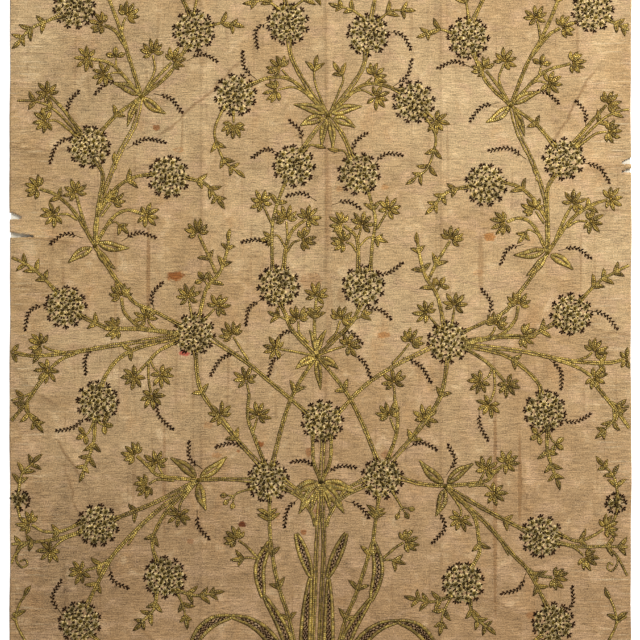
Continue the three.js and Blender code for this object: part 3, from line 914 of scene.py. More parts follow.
RUST: Colour = (0.255, 0.082, 0.014)
RED: Colour = (0.460, 0.075, 0.045)
ORANGE: Colour = (0.355, 0.148, 0.036)
UMBER: Colour = (0.135, 0.036, 0.008)
BROWN: Colour = (0.245, 0.120, 0.038)

STAINS = [
    Stain(-145.5, 54, 9.5, 5.0, RUST, 0.95), Stain(-136, -23, 5.5, 3.0, RED, 0.85),
    Stain(-142, 180, 5.5, 2.7, ORANGE, 0.6, True), Stain(-164, 202, 4, 3, RUST, 0.8),
    Stain(169, 93, 6, 5, ORANGE, 0.9), Stain(63, -5, 7, 3.5, ORANGE, 0.75),
    Stain(19, 141, 4, 3, ORANGE, 0.5), Stain(64, 143, 4, 3, ORANGE, 0.5),
    Stain(158, 57, 6, 4, ORANGE, 0.4), Stain(-61, -114, 4.5, 3.2, RUST, 0.95),
    Stain(-78, -194, 4.5, 3.6, UMBER, 1.0), Stain(-17, -202, 3.2, 2.6, RUST, 0.75),
    Stain(-12, -122, 3, 5, RUST, 0.6), Stain(-104, -125, 5, 3, ORANGE, 0.5),
    Stain(67, -125, 7, 5, RUST, 0.45), Stain(-3, -181, 4, 4, RUST, 0.6),
    Stain(210, -285, 5, 4, RUST, 0.5), Stain(-130, -211, 4, 3, RUST, 0.5),
    Stain(-112, -95, 5, 4, ORANGE, 0.4), Stain(-10, 49, 12, 9, RUST, 0.35),
    Stain(22, 35, 6, 8, BROWN, 0.35), Stain(-82, -121, 2, 1.5, RUST, 0.7),
    Stain(-46, -186, 5, 3, ORANGE, 0.4), Stain(160, 65, 3, 34, BROWN, 0.4),
    Stain(8, 120, 4, 44, BROWN, 0.42), Stain(9, 20, 3.5, 42, BROWN, 0.32),
    Stain(-172, 50, 2.2, 60, BROWN, 0.6), Stain(174.5, -170, 2.2, 130, BROWN, 0.6),
    Stain(-156, -150, 2.0, 60, BROWN, 0.45), Stain(199, -150, 2.0, 50, BROWN, 0.55),
    Stain(-205, 60, 2.0, 70, BROWN, 0.3),
    Stain(-250, -20, 30, 6, BROWN, 0.22), Stain(-262, -70, 24, 5, BROWN, 0.22),
]


@dataclass(frozen=True)
class TonePatch(Spot):
    """A wide patch where the silk is paler or darker.

    Args:
        gain: How much lighter it is, below 0 for darker.
    """

    gain: float


# Wide patches where the silk is lighter or darker; the large darker ones lie on the left and towards
# the foot
TONE_PATCHES = [
    TonePatch(-285, 112, 34, 44, 0.10), TonePatch(252, 168, 46, 46, 0.12), TonePatch(286, 262, 34, 60, 0.10),
    TonePatch(60, 226, 46, 56, 0.06), TonePatch(-90, 110, 56, 50, 0.05), TonePatch(-210, 250, 90, 80, -0.12),
    TonePatch(-160, -210, 130, 100, -0.11), TonePatch(14, 100, 10, 190, -0.07), TonePatch(10, -250, 40, 90, -0.12),
    TonePatch(-260, -250, 80, 110, -0.20), TonePatch(180, 60, 140, 200, 0.05),
    TonePatch(174, -100, 6, 260, -0.04), TonePatch(-163, 60, 6, 150, -0.03),
]


class Graph:
    """A short way to write a material's nodes."""

    def __init__(self, name: str) -> None:
        """Makes an empty node material with its output and its surface shader."""
        self.material = bpy.data.materials.new(name)
        self.material.use_nodes = True
        self.tree = self.material.node_tree
        self.tree.nodes.clear()
        self.shader = self.node("ShaderNodeBsdfPrincipled")
        output = self.node("ShaderNodeOutputMaterial")
        self.tree.links.new(self.shader.outputs[0], output.inputs["Surface"])

    def node(self, kind: str, **settings: object) -> bpy.types.Node:
        """Adds a node and sets its properties.

        Args:
            kind: Its type.
            settings: Its properties.

        Returns:
            The node.
        """
        node = self.tree.nodes.new(kind)
        for key, value in settings.items():
            setattr(node, key, value)
        return node

    def put(self, socket: Socket, value: object) -> None:
        """Links an output to a socket, or sets the socket's own value.

        Args:
            socket: The socket.
            value: The output or the value.
        """
        if isinstance(value, Socket):
            self.tree.links.new(value, socket)
        else:
            socket.default_value = value

    def place(self) -> Socket:
        """The point on the piece, in metres."""
        return self.node("ShaderNodeTexCoord").outputs["Object"]

    def vector(self, operation: str, *values: object) -> bpy.types.bpy_prop_collection:
        """Adds a vector math node.

        Args:
            operation: What it does.
            values: Its inputs, in order.

        Returns:
            Its outputs.
        """
        node = self.node("ShaderNodeVectorMath", operation=operation)
        for socket, value in zip(node.inputs, values):
            self.put(socket, value)
        return node.outputs

    def noise(self, vector: object, scale: float, detail: float = 3, rough: float = 0.5,
              twist: float = 0.0) -> Socket:
        """The value of a noise texture.

        Args:
            vector: Where it is read.
            scale: Its scale.
            detail: How many finer layers it has.
            rough: How strong those are.
            twist: How far it is distorted.

        Returns:
            The value.
        """
        node = self.node("ShaderNodeTexNoise")
        for name, value in (("Vector", vector), ("Scale", scale), ("Detail", detail),
                            ("Roughness", rough), ("Distortion", twist)):
            self.put(node.inputs[name], value)
        return node.outputs[0]

    def woven(self, place: object, across: float, along: float, detail: float,
              rough: float = 0.6, twist: float = 0.0) -> Socket:
        """A noise with its own scale across and along the cloth.

        Args:
            place: The point on the piece.
            across: Its scale across the cloth.
            along: Its scale along it.
            detail: How many finer layers it has.
            rough: How strong those are.
            twist: How far it is distorted.

        Returns:
            The value.
        """
        stretched = self.vector("MULTIPLY", place, (across, along, 1.0))[0]
        return self.noise(stretched, 1.0, detail, rough, twist)

    def math(self, operation: str, *values: object) -> Socket:
        """Adds a math node.

        Args:
            operation: What it does.
            values: Its inputs, in order.

        Returns:
            Its result.
        """
        node = self.node("ShaderNodeMath", operation=operation)
        for socket, value in zip(node.inputs, values):
            self.put(socket, value)
        return node.outputs[0]

    def span(self, value: object, low: float, high: float, to_low: float = 0.0,
             to_high: float = 1.0) -> Socket:
        """A value mapped smoothly from one range to another.

        Args:
            value: The value.
            low: The start of its range, which may be above the end.
            high: The end of its range.
            to_low: The result at the start.
            to_high: The result at the end.

        Returns:
            The result.
        """
        node = self.node("ShaderNodeMapRange", interpolation_type="SMOOTHSTEP")
        self.put(node.inputs["Value"], value)
        for name, number in zip(("From Min", "From Max", "To Min", "To Max"),
                                (low, high, to_low, to_high)):
            node.inputs[name].default_value = number
        return node.outputs[0]

    def mix(self, share: object, low: object, high: object) -> Socket:
        """A mix of two colours.

        Args:
            share: How much of the second it has.
            low: The first.
            high: The second.

        Returns:
            The colour.
        """
        node = self.node("ShaderNodeMix", data_type="RGBA")
        self.put(node.inputs["Factor"], share)
        for socket, value in zip((node.inputs[6], node.inputs[7]), (low, high)):
            self.put(socket, (*value, 1.0) if isinstance(value, tuple) else value)
        return node.outputs[2]

    def split(self, vector: object) -> bpy.types.bpy_prop_collection:
        """The three parts of a vector."""
        node = self.node("ShaderNodeSeparateXYZ")
        self.put(node.inputs[0], vector)
        return node.outputs

    def bump(self, height: object, strength: float, depth: float,
             below: object | None = None) -> Socket:
        """A normal bent by a height.

        Args:
            height: The height.
            strength: How strongly it bends.
            depth: Its depth in millimetres.
            below: A normal that is bent already.

        Returns:
            The normal.
        """
        node = self.node("ShaderNodeBump")
        node.inputs["Strength"].default_value = strength
        node.inputs["Distance"].default_value = depth * MM
        self.put(node.inputs["Height"], height)
        if below is not None:
            self.put(node.inputs["Normal"], below)
        return node.outputs[0]

    def away(self, place: object, spot: Spot) -> Socket:
        """How far a point is from a spot.

        Args:
            place: The point on the piece.
            spot: The spot.

        Returns:
            The distance, as a share of the spot's half sizes.
        """
        shift = self.vector("SUBTRACT", place, (spot.x * MM, spot.y * MM, 0.0))[0]
        sizes = (1 / (spot.half_x * MM), 1 / (spot.half_y * MM), 0)
        return self.vector("LENGTH", self.vector("MULTIPLY", shift, sizes)[0])["Value"]

    def fold_line(self, place: object, wander: object, fold: Fold) -> Socket:
        """The dirt along the crest of a fold.

        Args:
            place: The point on the piece.
            wander: A noise that bends the line.
            fold: The fold.

        Returns:
            1 on the worst of the line, 0 away from it.
        """
        run = np.array([fold.x1 - fold.x0, fold.y1 - fold.y0]) * MM
        length = float(np.hypot(*run))
        way = run / length
        shift = self.vector("SUBTRACT", place, (fold.x0 * MM, fold.y0 * MM, 0.0))[0]
        along = self.vector("DOT_PRODUCT", shift, (way[0], way[1], 0.0))["Value"]
        across = self.vector("DOT_PRODUCT", shift, (-way[1], way[0], 0.0))["Value"]
        bend = self.math("MULTIPLY", self.math("SUBTRACT", wander, 0.5), 0.012)
        off = self.math("ABSOLUTE", self.math("ADD", across, bend))
        middle = self.math("ABSOLUTE", self.math("SUBTRACT", along, length / 2))
        near = self.span(off, 0.0024, 0.0, 0.0, 0.32 * fold.rise)
        return self.math("MULTIPLY", near, self.span(middle, length * 0.62, length * 0.3))

    def brightened(self, colour: object, tone: object) -> Socket:
        """A colour times a brightness.

        Args:
            colour: The colour.
            tone: The brightness.

        Returns:
            The colour.
        """
        node = self.node("ShaderNodeVectorMath", operation="SCALE")
        self.put(node.inputs[0], colour)
        self.put(node.inputs["Scale"], tone)
        return node.outputs[0]

    def surface(self, **values: object) -> Material:
        """Sets the surface shader's sockets.

        Args:
            values: The value of each socket, with _ for a space in its name.

        Returns:
            The material.
        """
        for name, value in values.items():
            socket = self.shader.inputs[name.replace("_", " ")]
            self.put(socket, (*value, 1.0) if isinstance(value, tuple) else value)
        return self.material


@dataclass(frozen=True)
class SilkFinish:
    """Ribbed tan silk with slubs, mottling, dirt in its creases and stains.

    Args:
        light: Its colour where it is cleanest.
        dark: Its colour in slow darker patches.
        lower: Its colour towards the foot of the panel: partly a browner tint of the silk, partly
            painted shade where the light falls off.
        dirt: The colour of dirt, in creases, on folds and along threads.
        pale: The colour of rubbed spots and pulled threads.
        rust: The colour of its rusty clouds.
        rosy: The colour of its rosy clouds.
        slub_tone: How much the slubs change its brightness.
        grain_tone: How much the finest grain does.
        pick_tone: How much single picks of the weft do.
        mottle_tone: How much the mottling does.
    """

    light: Colour = (0.520, 0.362, 0.182)
    dark: Colour = (0.430, 0.270, 0.120)
    lower: Colour = (0.372, 0.222, 0.102)
    dirt: Colour = (0.250, 0.140, 0.055)
    pale: Colour = (0.625, 0.480, 0.285)
    rust: Colour = (0.450, 0.252, 0.105)
    rosy: Colour = (0.520, 0.330, 0.180)
    slub_tone: float = 1.45
    grain_tone: float = 2.20
    pick_tone: float = 0.55
    mottle_tone: float = 0.62

    def build(self) -> Material:
        """Makes the material."""
        g = Graph("aged_silk")
        place = g.place()
        parts = g.split(place)
        patches = g.noise(place, 7.0, 4, 0.6, 0.4)
        mottle = g.noise(place, 55.0, 3, 0.6, 0.5)
        slubs = g.woven(place, 100.0, 860.0, 2)
        grain = g.woven(place, 760.0, 980.0, 2)
        streaks = g.woven(place, 26.0, 400.0, 3)
        picks = g.woven(place, 38.0, 700.0, 2, 0.5)
        warp = g.woven(place, 170.0, 9.0, 3)
        base = g.mix(g.span(patches, 0.34, 0.66), self.light, self.dark)
        # Darker and browner towards the foot: partly the silk's own tint, partly painted shade of the
        # light falling off
        base = g.mix(g.span(parts["Y"], 0.10, -0.32, 0.0, 0.85), base, self.lower)
        rusty = g.woven(place, 26.0, 15.0, 4, 0.65, 0.6)
        base = g.mix(g.span(rusty, 0.52, 0.72, 0.0, 0.55), base, self.rust)
        base = g.mix(g.span(mottle, 0.56, 0.74, 0.0, 0.35), base, self.pale)
        rosy = g.woven(place, 36.0, 52.0, 3, twist=0.5)
        base = g.mix(g.span(rosy, 0.48, 0.66, 0.0, 0.6), base, self.rosy)
        base = g.mix(g.span(streaks, 0.44, 0.26, 0.0, 0.55), base, self.dirt)
        base = g.mix(g.span(warp, 0.44, 0.26, 0.0, 0.50), base, self.dirt)
        pulled = g.math("MULTIPLY", g.span(streaks, 0.55, 0.72),
                        g.span(g.math("ABSOLUTE", parts["X"]), 0.225, 0.312, 0.0, 0.8))
        base = g.mix(pulled, base, self.pale)
        base = self.creased(g, base, parts, patches)
        for fold in FOLDS:
            base = g.mix(g.fold_line(place, mottle, fold), base, self.dirt)
        base = self.stained(g, base, place)
        tones = ((slubs, self.slub_tone), (grain, self.grain_tone), (picks, self.pick_tone),
                 (mottle, self.mottle_tone))
        tone = 1.0 - 0.5 * sum(gain for _, gain in tones)
        for noise, gain in tones:
            tone = g.math("ADD", tone, g.math("MULTIPLY", noise, gain))
        for tone_patch in TONE_PATCHES:
            tone = g.math("ADD", tone, g.span(g.away(place, tone_patch), 1.3, 0.0, 0.0, tone_patch.gain))
        base = g.brightened(base, tone)
        weave = g.math("ADD", g.math("MULTIPLY", slubs, 0.8), g.math("MULTIPLY", grain, 0.4))
        wrinkle = g.woven(place, 60.0, 95.0, 4, twist=0.8)
        normal = g.bump(weave, 0.5, 0.30, g.bump(wrinkle, 0.5, 1.5))
        rough = g.span(slubs, 0.2, 0.8, 0.78, 0.58)
        return g.surface(Base_Color=base, Roughness=rough, Normal=normal,
                         Specular_IOR_Level=0.22, Sheen_Weight=0.03, Sheen_Roughness=0.4)

    def creased(self, g: Graph, base: object, parts: object, patches: object) -> object:
        """Dirties the storage creases.

        Args:
            g: The material's graph.
            base: The colour so far.
            parts: The three parts of the point on the piece.
            patches: A slow noise.

        Returns:
            The dirtied colour.
        """
        for at, rise in STORAGE_CREASES:
            away = g.math("ABSOLUTE", g.math("SUBTRACT", parts["X"], at * MM))
            share = g.span(patches, 0.35, 0.6, 0.1, 0.55 * rise)
            base = g.mix(g.math("MULTIPLY", g.span(away, 0.0035, 0.0004), share), base, self.dirt)
        return base

    def stained(self, g: Graph, base: object, place: object) -> object:
        """Lays the stains over a colour.

        Args:
            g: The material's graph.
            base: The colour so far.
            place: The point on the piece.

        Returns:
            The stained colour.
        """
        ragged = g.noise(place, 300.0, 3, 0.65)
        for stain in STAINS:
            reach = g.math("ADD", g.away(place, stain), g.math("MULTIPLY", ragged, 1.3))
            mask = g.span(reach, 1.80, 1.35, 0.0, stain.strength)
            if stain.hollow:
                mask = g.math("MULTIPLY", mask, g.span(reach, 1.0, 1.35, 0.1, 1.0))
            base = g.mix(mask, base, stain.tint)
        return base


@dataclass(frozen=True)
class LiningFinish:
    """Plain off-white cotton.

    Args:
        light: Its colour.
        dark: Its colour between the threads and in darker patches.
    """

    light: Colour = (0.86, 0.82, 0.70)
    dark: Colour = (0.72, 0.66, 0.52)

    def build(self) -> Material:
        """Makes the material."""
        g = Graph("plain_lining")
        place = g.place()
        weft = g.woven(place, 90.0, 1200.0, 3)
        warp = g.woven(place, 1200.0, 90.0, 3)
        weave = g.math("ADD", weft, warp)
        base = g.mix(g.span(g.noise(place, 12.0, 4), 0.35, 0.65), self.light, self.dark)
        base = g.mix(g.span(weave, 0.95, 0.70, 0.0, 0.5), base, self.dark)
        return g.surface(Base_Color=base, Roughness=0.92, Normal=g.bump(weave, 0.6, 0.3),
                         Specular_IOR_Level=0.25)


@dataclass(frozen=True)
class ThreadFinish:
    """A couched or sewn thread.

    Args:
        name: The material's name.
        light: Its colour where it is clean.
        dark: Its colour where it is tarnished.
        metallic: How much of it is metal.
        shine: Its specular level.
        roughness: Its roughness.
        pitch: The spacing of its turns, in millimetres.
        slant: How far the turns lean across the thread.
        relief: Height of the turns, in millimetres.
    """

    name: str
    light: Colour
    dark: Colour
    metallic: float
    shine: float
    roughness: float
    pitch: float
    slant: float
    relief: float

    def build(self) -> Material:
        """Makes the material."""
        g = Graph(self.name)
        place = g.place()
        stitch = g.node("ShaderNodeAttribute", attribute_name="stitch").outputs["Vector"]
        parts = g.split(stitch)
        lean = g.math("MULTIPLY", g.math("ABSOLUTE", parts["Y"]), self.slant)
        phase = g.math("MULTIPLY", g.math("ADD", parts["X"], lean), 2 * math.pi / self.pitch)
        uneven = g.math("MULTIPLY", g.noise(place, 300.0, 2), 4.0)
        turns = g.math("SINE", g.math("ADD", phase, uneven))
        fibre = g.noise(place, 900.0, 3, 0.6)
        tarnish = g.noise(place, 75.0, 4, 0.65)
        shape = g.node("ShaderNodeTexWhiteNoise", noise_dimensions="1D")
        g.put(shape.inputs["W"], parts["Z"])
        base = g.mix(g.span(tarnish, 0.38, 0.62), self.light, self.dark)
        base = g.mix(g.span(turns, 0.0, -1.0, 0.0, 0.85), base, self.dark)
        base = g.mix(g.span(fibre, 0.55, 0.8, 0.0, 0.5), base, self.light)
        tone = g.span(shape.outputs["Value"], 0.0, 1.0, 0.82, 1.20)
        # Painted shade: the threads darken towards the foot of the panel, where the light falls off
        painted_falloff_shade = g.span(g.split(place)["Y"], 0.10, -0.32, 1.0, 0.82)
        glint = g.span(g.noise(place, 380.0, 2, 0.6), 0.38, 0.62, 0.55, 1.48)
        base = g.brightened(base, g.math("MULTIPLY", g.math("MULTIPLY", tone, painted_falloff_shade), glint))
        normal = g.bump(turns, 0.8, self.relief, g.bump(fibre, 0.5, self.relief * 0.6))
        return g.surface(Base_Color=base, Metallic=self.metallic, Roughness=self.roughness,
                         Normal=normal, Specular_IOR_Level=self.shine)


THREADS = [
    ThreadFinish("gilt_thread", (0.405, 0.262, 0.044), (0.215, 0.130, 0.022), 0.30, 0.36, 0.46,
                 2.1, 0.5, 0.20),
    ThreadFinish("outline_thread", (0.078, 0.045, 0.009), (0.040, 0.021, 0.004), 0.0, 0.06, 0.8,
                 0.8, 0.4, 0.10),
    ThreadFinish("floret_thread", (0.050, 0.021, 0.008), (0.025, 0.010, 0.004), 0.0, 0.05, 0.8,
                 0.7, 0.2, 0.10),
    ThreadFinish("olive_thread", (0.128, 0.083, 0.008), (0.064, 0.039, 0.004), 0.05, 0.15, 0.7,
                 0.7, 0.3, 0.12),
    ThreadFinish("gilt_highlight_thread", (0.505, 0.375, 0.096), (0.280, 0.188, 0.038), 0.30, 0.38, 0.44,
                 2.1, 0.5, 0.20),
    ThreadFinish("cream_thread", (0.680, 0.520, 0.265), (0.520, 0.370, 0.160), 0.0, 0.2, 0.7,
                 0.8, 0.3, 0.10),
]


# The cloths


def lines_between(half: float, step: float, extra: list[float]) -> Points:
    """Grid lines from -half to half.

    Args:
        half: Half of the length.
        step: The usual spacing.
        extra: Further lines.

    Returns:
        The lines in order, with near doubles left out.
    """
    even = np.linspace(-half, half, int(round(2 * half / step)) + 1)
    extra_lines = np.array(sorted(extra))
    kept = [v for v in even if not len(extra_lines) or np.abs(extra_lines - v).min() > step * 0.3
            or abs(abs(v) - half) < 1e-6]
    return np.array(sorted(kept + [v for v in extra if abs(v) < half - 0.3]))


def grid_shell(
    top: Points, bottom: Points, keep: np.ndarray
) -> tuple[Points, list[tuple[int, ...]]]:
    """A closed shell from a grid's face and back.

    Args:
        top: Columns by rows by 3 of the face.
        bottom: The same of the back.
        keep: Columns - 1 by rows - 1, true where the grid has a cell.

    Returns:
        The points that are used and the faces.
    """
    columns, rows = top.shape[:2]
    back = columns * rows
    faces: list[tuple[int, ...]] = []
    padded = np.pad(keep, 1)
    for i, j in zip(*np.nonzero(keep)):
        a, b = int(i * rows + j), int((i + 1) * rows + j)
        faces.append((a, b, b + 1, a + 1))
        faces.append((a + back, a + 1 + back, b + 1 + back, b + back))
        around = ((0, -1, a, b), (1, 0, b, b + 1), (0, 1, b + 1, a + 1), (-1, 0, a + 1, a))
        for di, dj, p, q in around:
            if not padded[i + 1 + di, j + 1 + dj]:
                faces.append((q, p, p + back, q + back))
    points = np.concatenate([top.reshape(-1, 3), bottom.reshape(-1, 3)])
    used = np.unique(np.array([c for f in faces for c in f]))
    place = np.full(len(points), -1)
    place[used] = np.arange(len(used))
    return points[used], [tuple(int(place[c]) for c in f) for f in faces]


@dataclass
class SilkGround:
    """The silk ground, with its folds, its wavering edges and its tears.

    Args:
        surface: The height of its face.
        step: Spacing of its grid.
        wave: How far its edges waver.
        near_tear: How far in from the side edges its grid is fine, for the tears.
    """

    surface: SilkSurface
    step: float = 4.1
    wave: float = 0.35
    near_tear: float = 27.0

    def lines(self) -> tuple[Points, Points]:
        """The grid's lines across and along the panel."""
        half_x, half_y = self.surface.width / 2, self.surface.length / 2
        across = [at + off for at, _ in STORAGE_CREASES for off in CREASE_LINES]
        depths = np.arange(2.0, self.near_tear, 2.0)
        across += [side * (half_x - depth) for side in (-1, 1) for depth in depths]
        along = [y for tear in TEARS for y in np.arange(tear.y - 6.0, tear.y + 6.5, 1.0)]
        return (lines_between(half_x, self.step, across),
                lines_between(half_y, self.step, sorted(set(np.round(along)))))

    def inset(self, at: Points, phase: float) -> Points:
        """How far an edge wavers inwards from the straight one.

        Args:
            at: Positions along the edge.
            phase: Where the waves start.

        Returns:
            The distance at each position.
        """
        raw = np.sin(at / 38 + phase) + 0.5 * np.sin(at / 13 + 2 * phase)
        raw += 0.12 * np.sin(at / 2.3 + phase) + 0.08 * np.sin(at / 1.1)
        return self.wave * (raw - raw.min())

    def tear_lips(self, tear: Tear, depth: Points) -> tuple[Points, Points]:
        """The lower and the upper lip of a tear.

        Args:
            tear: The tear.
            depth: Distances in from the edge.

        Returns:
            The Y of both lips at each distance.
        """
        share = np.clip(depth / tear.reach, 0, 1)
        open_by = tear.gape * np.sqrt(1 - share) * (1 - 0.25 * share)
        middle = tear.y - tear.gape * 0.28 * share
        ragged = (0.35 * np.sin(depth * 1.9 + tear.y) + 0.2 * np.sin(depth * 4.3)) * (1 - share)
        return middle - open_by / 2 + ragged, middle + open_by / 2 - ragged

    def torn(self, tear: Tear, x: Points, y: Points, keep: np.ndarray) -> None:
        """Moves the grid to the lips of a tear and takes out the cells between them.

        Args:
            tear: The tear.
            x: The X of the grid's points.
            y: The Y of the grid's points, which it changes.
            keep: Whether the grid has each cell, which it changes.
        """
        depth = self.surface.width / 2 - np.abs(x)
        inside = (np.sign(x) == tear.side) & (depth < tear.reach)
        low, high = self.tear_lips(tear, depth)
        open_rows = inside & (y > low) & (y < high)
        for i in np.nonzero(open_rows.any(axis=1))[0]:
            rows = np.nonzero(open_rows[i])[0]
            first, last = rows[0] - 1, rows[-1] + 1
            y[i, first], y[i, last] = low[i, first], high[i, last]
            cell = i if tear.side < 0 else i - 1
            if 0 <= cell < len(keep):
                keep[cell, first:last] = False

    def build(self, material: Material) -> Piece:
        """Makes the silk.

        Args:
            material: Its material.

        Returns:
            The piece.
        """
        surface = self.surface
        xs, ys = self.lines()
        x, y = np.meshgrid(xs, ys, indexing="ij")
        x[0] += self.inset(ys, 0.4)
        x[-1] -= self.inset(ys, 1.9)
        y[:, 0] += self.inset(xs, 2.7)
        y[:, -1] -= self.inset(xs, 4.1)
        keep = np.ones((len(xs) - 1, len(ys) - 1), dtype=bool)
        for tear in TEARS:
            self.torn(tear, x, y, keep)
        z = surface.height(x, y)
        top = np.stack([x, y, z], axis=2)
        bottom = np.stack([x, y, z - surface.thick], axis=2)
        points, faces = grid_shell(top, bottom, keep)
        piece = mesh_piece("silk_ground", points, faces, [material])
        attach(piece, Body.ROOT.value)
        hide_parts("embroidered_silk")
        return piece


@dataclass
class LiningCloth:
    """The lining, flat under the silk.

    Args:
        width: Its width.
        length: Its length.
        thick: Its thickness.
        step: Spacing of its grid.
        wave: How far its edges waver.
    """

    width: float = 619.6
    length: float = 857.6
    thick: float = 1.0
    step: float = 12.0
    wave: float = 0.4

    def inset(self, at: Points, phase: float) -> Points:
        """How far an edge wavers inwards from the straight one."""
        return self.wave * (1 + np.sin(at / 45 + phase))

    def build(self, material: Material) -> Piece:
        """Makes the lining.

        Args:
            material: Its material.

        Returns:
            The piece.
        """
        xs = lines_between(self.width / 2, self.step, [])
        ys = lines_between(self.length / 2, self.step, [])
        x, y = np.meshgrid(xs, ys, indexing="ij")
        x[0] += self.inset(ys, 3.6)
        x[-1] -= self.inset(ys, 1.1)
        y[:, 0] += self.inset(xs, 0.3)
        y[:, -1] -= self.inset(xs, 2.2)
        top = np.stack([x, y, np.full_like(x, self.thick)], axis=2)
        bottom = np.stack([x, y, np.zeros_like(x)], axis=2)
        keep = np.ones((len(xs) - 1, len(ys) - 1), dtype=bool)
        points, faces = grid_shell(top, bottom, keep)
        piece = mesh_piece("lining_cloth", points, faces, [material])
        for polygon in piece.data.polygons:
            polygon.use_smooth = False
        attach(piece, Body.ROOT.value)
        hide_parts("lining")
        return piece


# The embroidery


def way_of(angle: float) -> np.ndarray:
    """The unit step along a heading in radians."""
    return np.array([math.cos(angle), math.sin(angle)])


def heading_of(step: np.ndarray) -> float:
    """The heading of a step, in radians."""
    return math.atan2(step[1], step[0])


@dataclass
class Needle:
    """What all the sewn work shares: the cloth, the uneven hand and the plain stitches.

    Args:
        surface: The silk's face.
        drawing: Where the pattern lies.
        seed: Seed of the small unevenness of hand work.
        margin: Least distance of the work from the cloth's edge.
        stitch: Spacing of the couching stitches.
        edge: Width of a strand's dark outline, partly outline thread and partly painted shade on the
            strand's sloped sides.
        petal_edge: Width of a petal's dark outline, as a share of a strand's.
        rib: Half width of a petal's midline.
    """

    surface: SilkSurface
    drawing: Drawing
    seed: int = 11
    margin: float = 2.0
    stitch: float = 2.1
    edge: float = 0.62
    petal_edge: float = 0.78
    rib: float = 0.28

    def __post_init__(self) -> None:
        """Starts the hand's unevenness and the count of sewn forms."""
        self.rng = random.Random(self.seed)
        self.shapes = 0

    def inside(self, point: np.ndarray, margin: float) -> bool:
        """Whether a point lies on the silk and off its edge."""
        return (abs(point[0]) < self.surface.width / 2 - margin
                and abs(point[1]) < self.surface.length / 2 - margin)

    def stray(self, reach: float) -> float:
        """A small random step, up to a reach either way."""
        return self.rng.uniform(-reach, reach)

    def swept(
        self, buffer: MeshBuffer, line: Points, halves: Points,
        profile: list[tuple[float, float, float]], threads: list[Thread], lift: float = 0.0,
    ) -> None:
        """Adds a sewn form along a line.

        Args:
            buffer: The piece to add it to.
            line: Its points.
            halves: Half of its width at each point.
            profile: Its cross-section: a share of the half width, millimetres added to that,
                and a height.
            threads: The thread of each part of the cross-section.
            lift: How far it stands off the silk, on other work.
        """
        left = left_of(line)
        along = np.concatenate([[0], np.cumsum(np.hypot(*np.diff(line, axis=0).T))])
        self.shapes += 1
        rows = np.zeros((len(line), len(profile), 3))
        stitch = np.zeros_like(rows)
        full = np.minimum(1.0, halves / FULL_HALF)
        for j, (share, extra, high) in enumerate(profile):
            off = share * halves + extra * full
            rows[:, j, :2] = line + left * off[:, None]
            rows[:, j, 2] = lift + (high * full if high > 0 else high)
            stitch[:, j, 0] = along
            stitch[:, j, 1] = off
            stitch[:, j, 2] = self.shapes
        buffer.strip(rows[:, ::-1], stitch[:, ::-1], [thread.value for thread in threads[::-1]])

    def strand(self, buffer: MeshBuffer, line: Points, halves: Points, outer: float,
               inner: float, lift: float = 0.0) -> None:
        """Adds one couched strand with dark edges, partly outline thread and partly painted shade on
        its sloped sides.

        Args:
            buffer: The piece to add it to.
            line: Its points.
            halves: Half of its width at each point.
            outer: Width of the dark edge on its left.
            inner: Width of the dark edge on its right.
            lift: How far it stands off the silk.
        """
        beat = 1 + 0.1 * np.cos(np.pi * np.arange(len(line)))
        # The middle of the cross-section takes the lighter gilt, a painted highlight along the strand's
        # top
        profile = [(1, outer, -0.3), (1, 0.0, 0.4), (0.4, 0.0, 0.85), (-0.4, 0.0, 0.85),
                   (-1, 0.0, 0.4), (-1, -inner, -0.3)]
        threads = [Thread.OUTLINE, Thread.GILT, Thread.GILT_HIGHLIGHT, Thread.GILT, Thread.OUTLINE]
        self.swept(buffer, line, halves * beat, profile, threads, lift)

    def petal(self, buffer: MeshBuffer, foot: np.ndarray, angle: float, length: float,
              half: float, bend: float, lift: float = 0.1, peak: float = 0.9) -> None:
        """Adds a pointed leaf or lobe of satin stitch with a dark outline and midline; the outline is
        partly painted shade on its sloped sides.

        Args:
            buffer: The piece to add it to.
            foot: Where it starts.
            angle: Its heading, in radians.
            length: Its length.
            half: Half of its greatest width.
            bend: How far its middle stands off the straight line.
            lift: How far it stands off the silk.
            peak: Sets where it is widest, above 1 for beyond its middle.
        """
        way = way_of(angle)
        while length > 4.0 and not self.inside(foot + length * way, self.margin):
            length -= 1.0
        end = foot + length * way
        if not (self.inside(foot, self.margin) and self.inside(end, self.margin)):
            return
        line = smooth_line(bowed(foot, end, bend), length / 8)
        share = np.linspace(0, 1, len(line))
        halves = half * np.maximum(np.sin(np.pi * share**peak) ** 1.15, 0.03)
        halves[0] = half * 0.25
        edge, rib = self.edge * self.petal_edge, self.rib
        profile = [(1, edge, -0.3), (1, edge * 0.7, 0.34), (1, -0.1, 0.42), (0.55, 0.0, 1.0),
                   (0.0, rib, 0.62), (0.0, -rib, 0.62), (-0.55, 0.0, 1.0), (-1, 0.1, 0.42),
                   (-1, -edge * 0.7, 0.34), (-1, -edge, -0.3)]
        # One half of each lobe takes the lighter gilt as its painted lit side, the other the plain gilt
        # as its shaded side
        lit_and_shaded_halves = [Thread.GILT_HIGHLIGHT, Thread.GILT]
        self.rng.shuffle(lit_and_shaded_halves)
        rim = [Thread.OUTLINE, Thread.OUTLINE, Thread.GILT]
        threads = [*rim, lit_and_shaded_halves[0], Thread.OUTLINE, lit_and_shaded_halves[1], *rim[::-1]]
        self.swept(buffer, line, halves, profile, threads, lift)


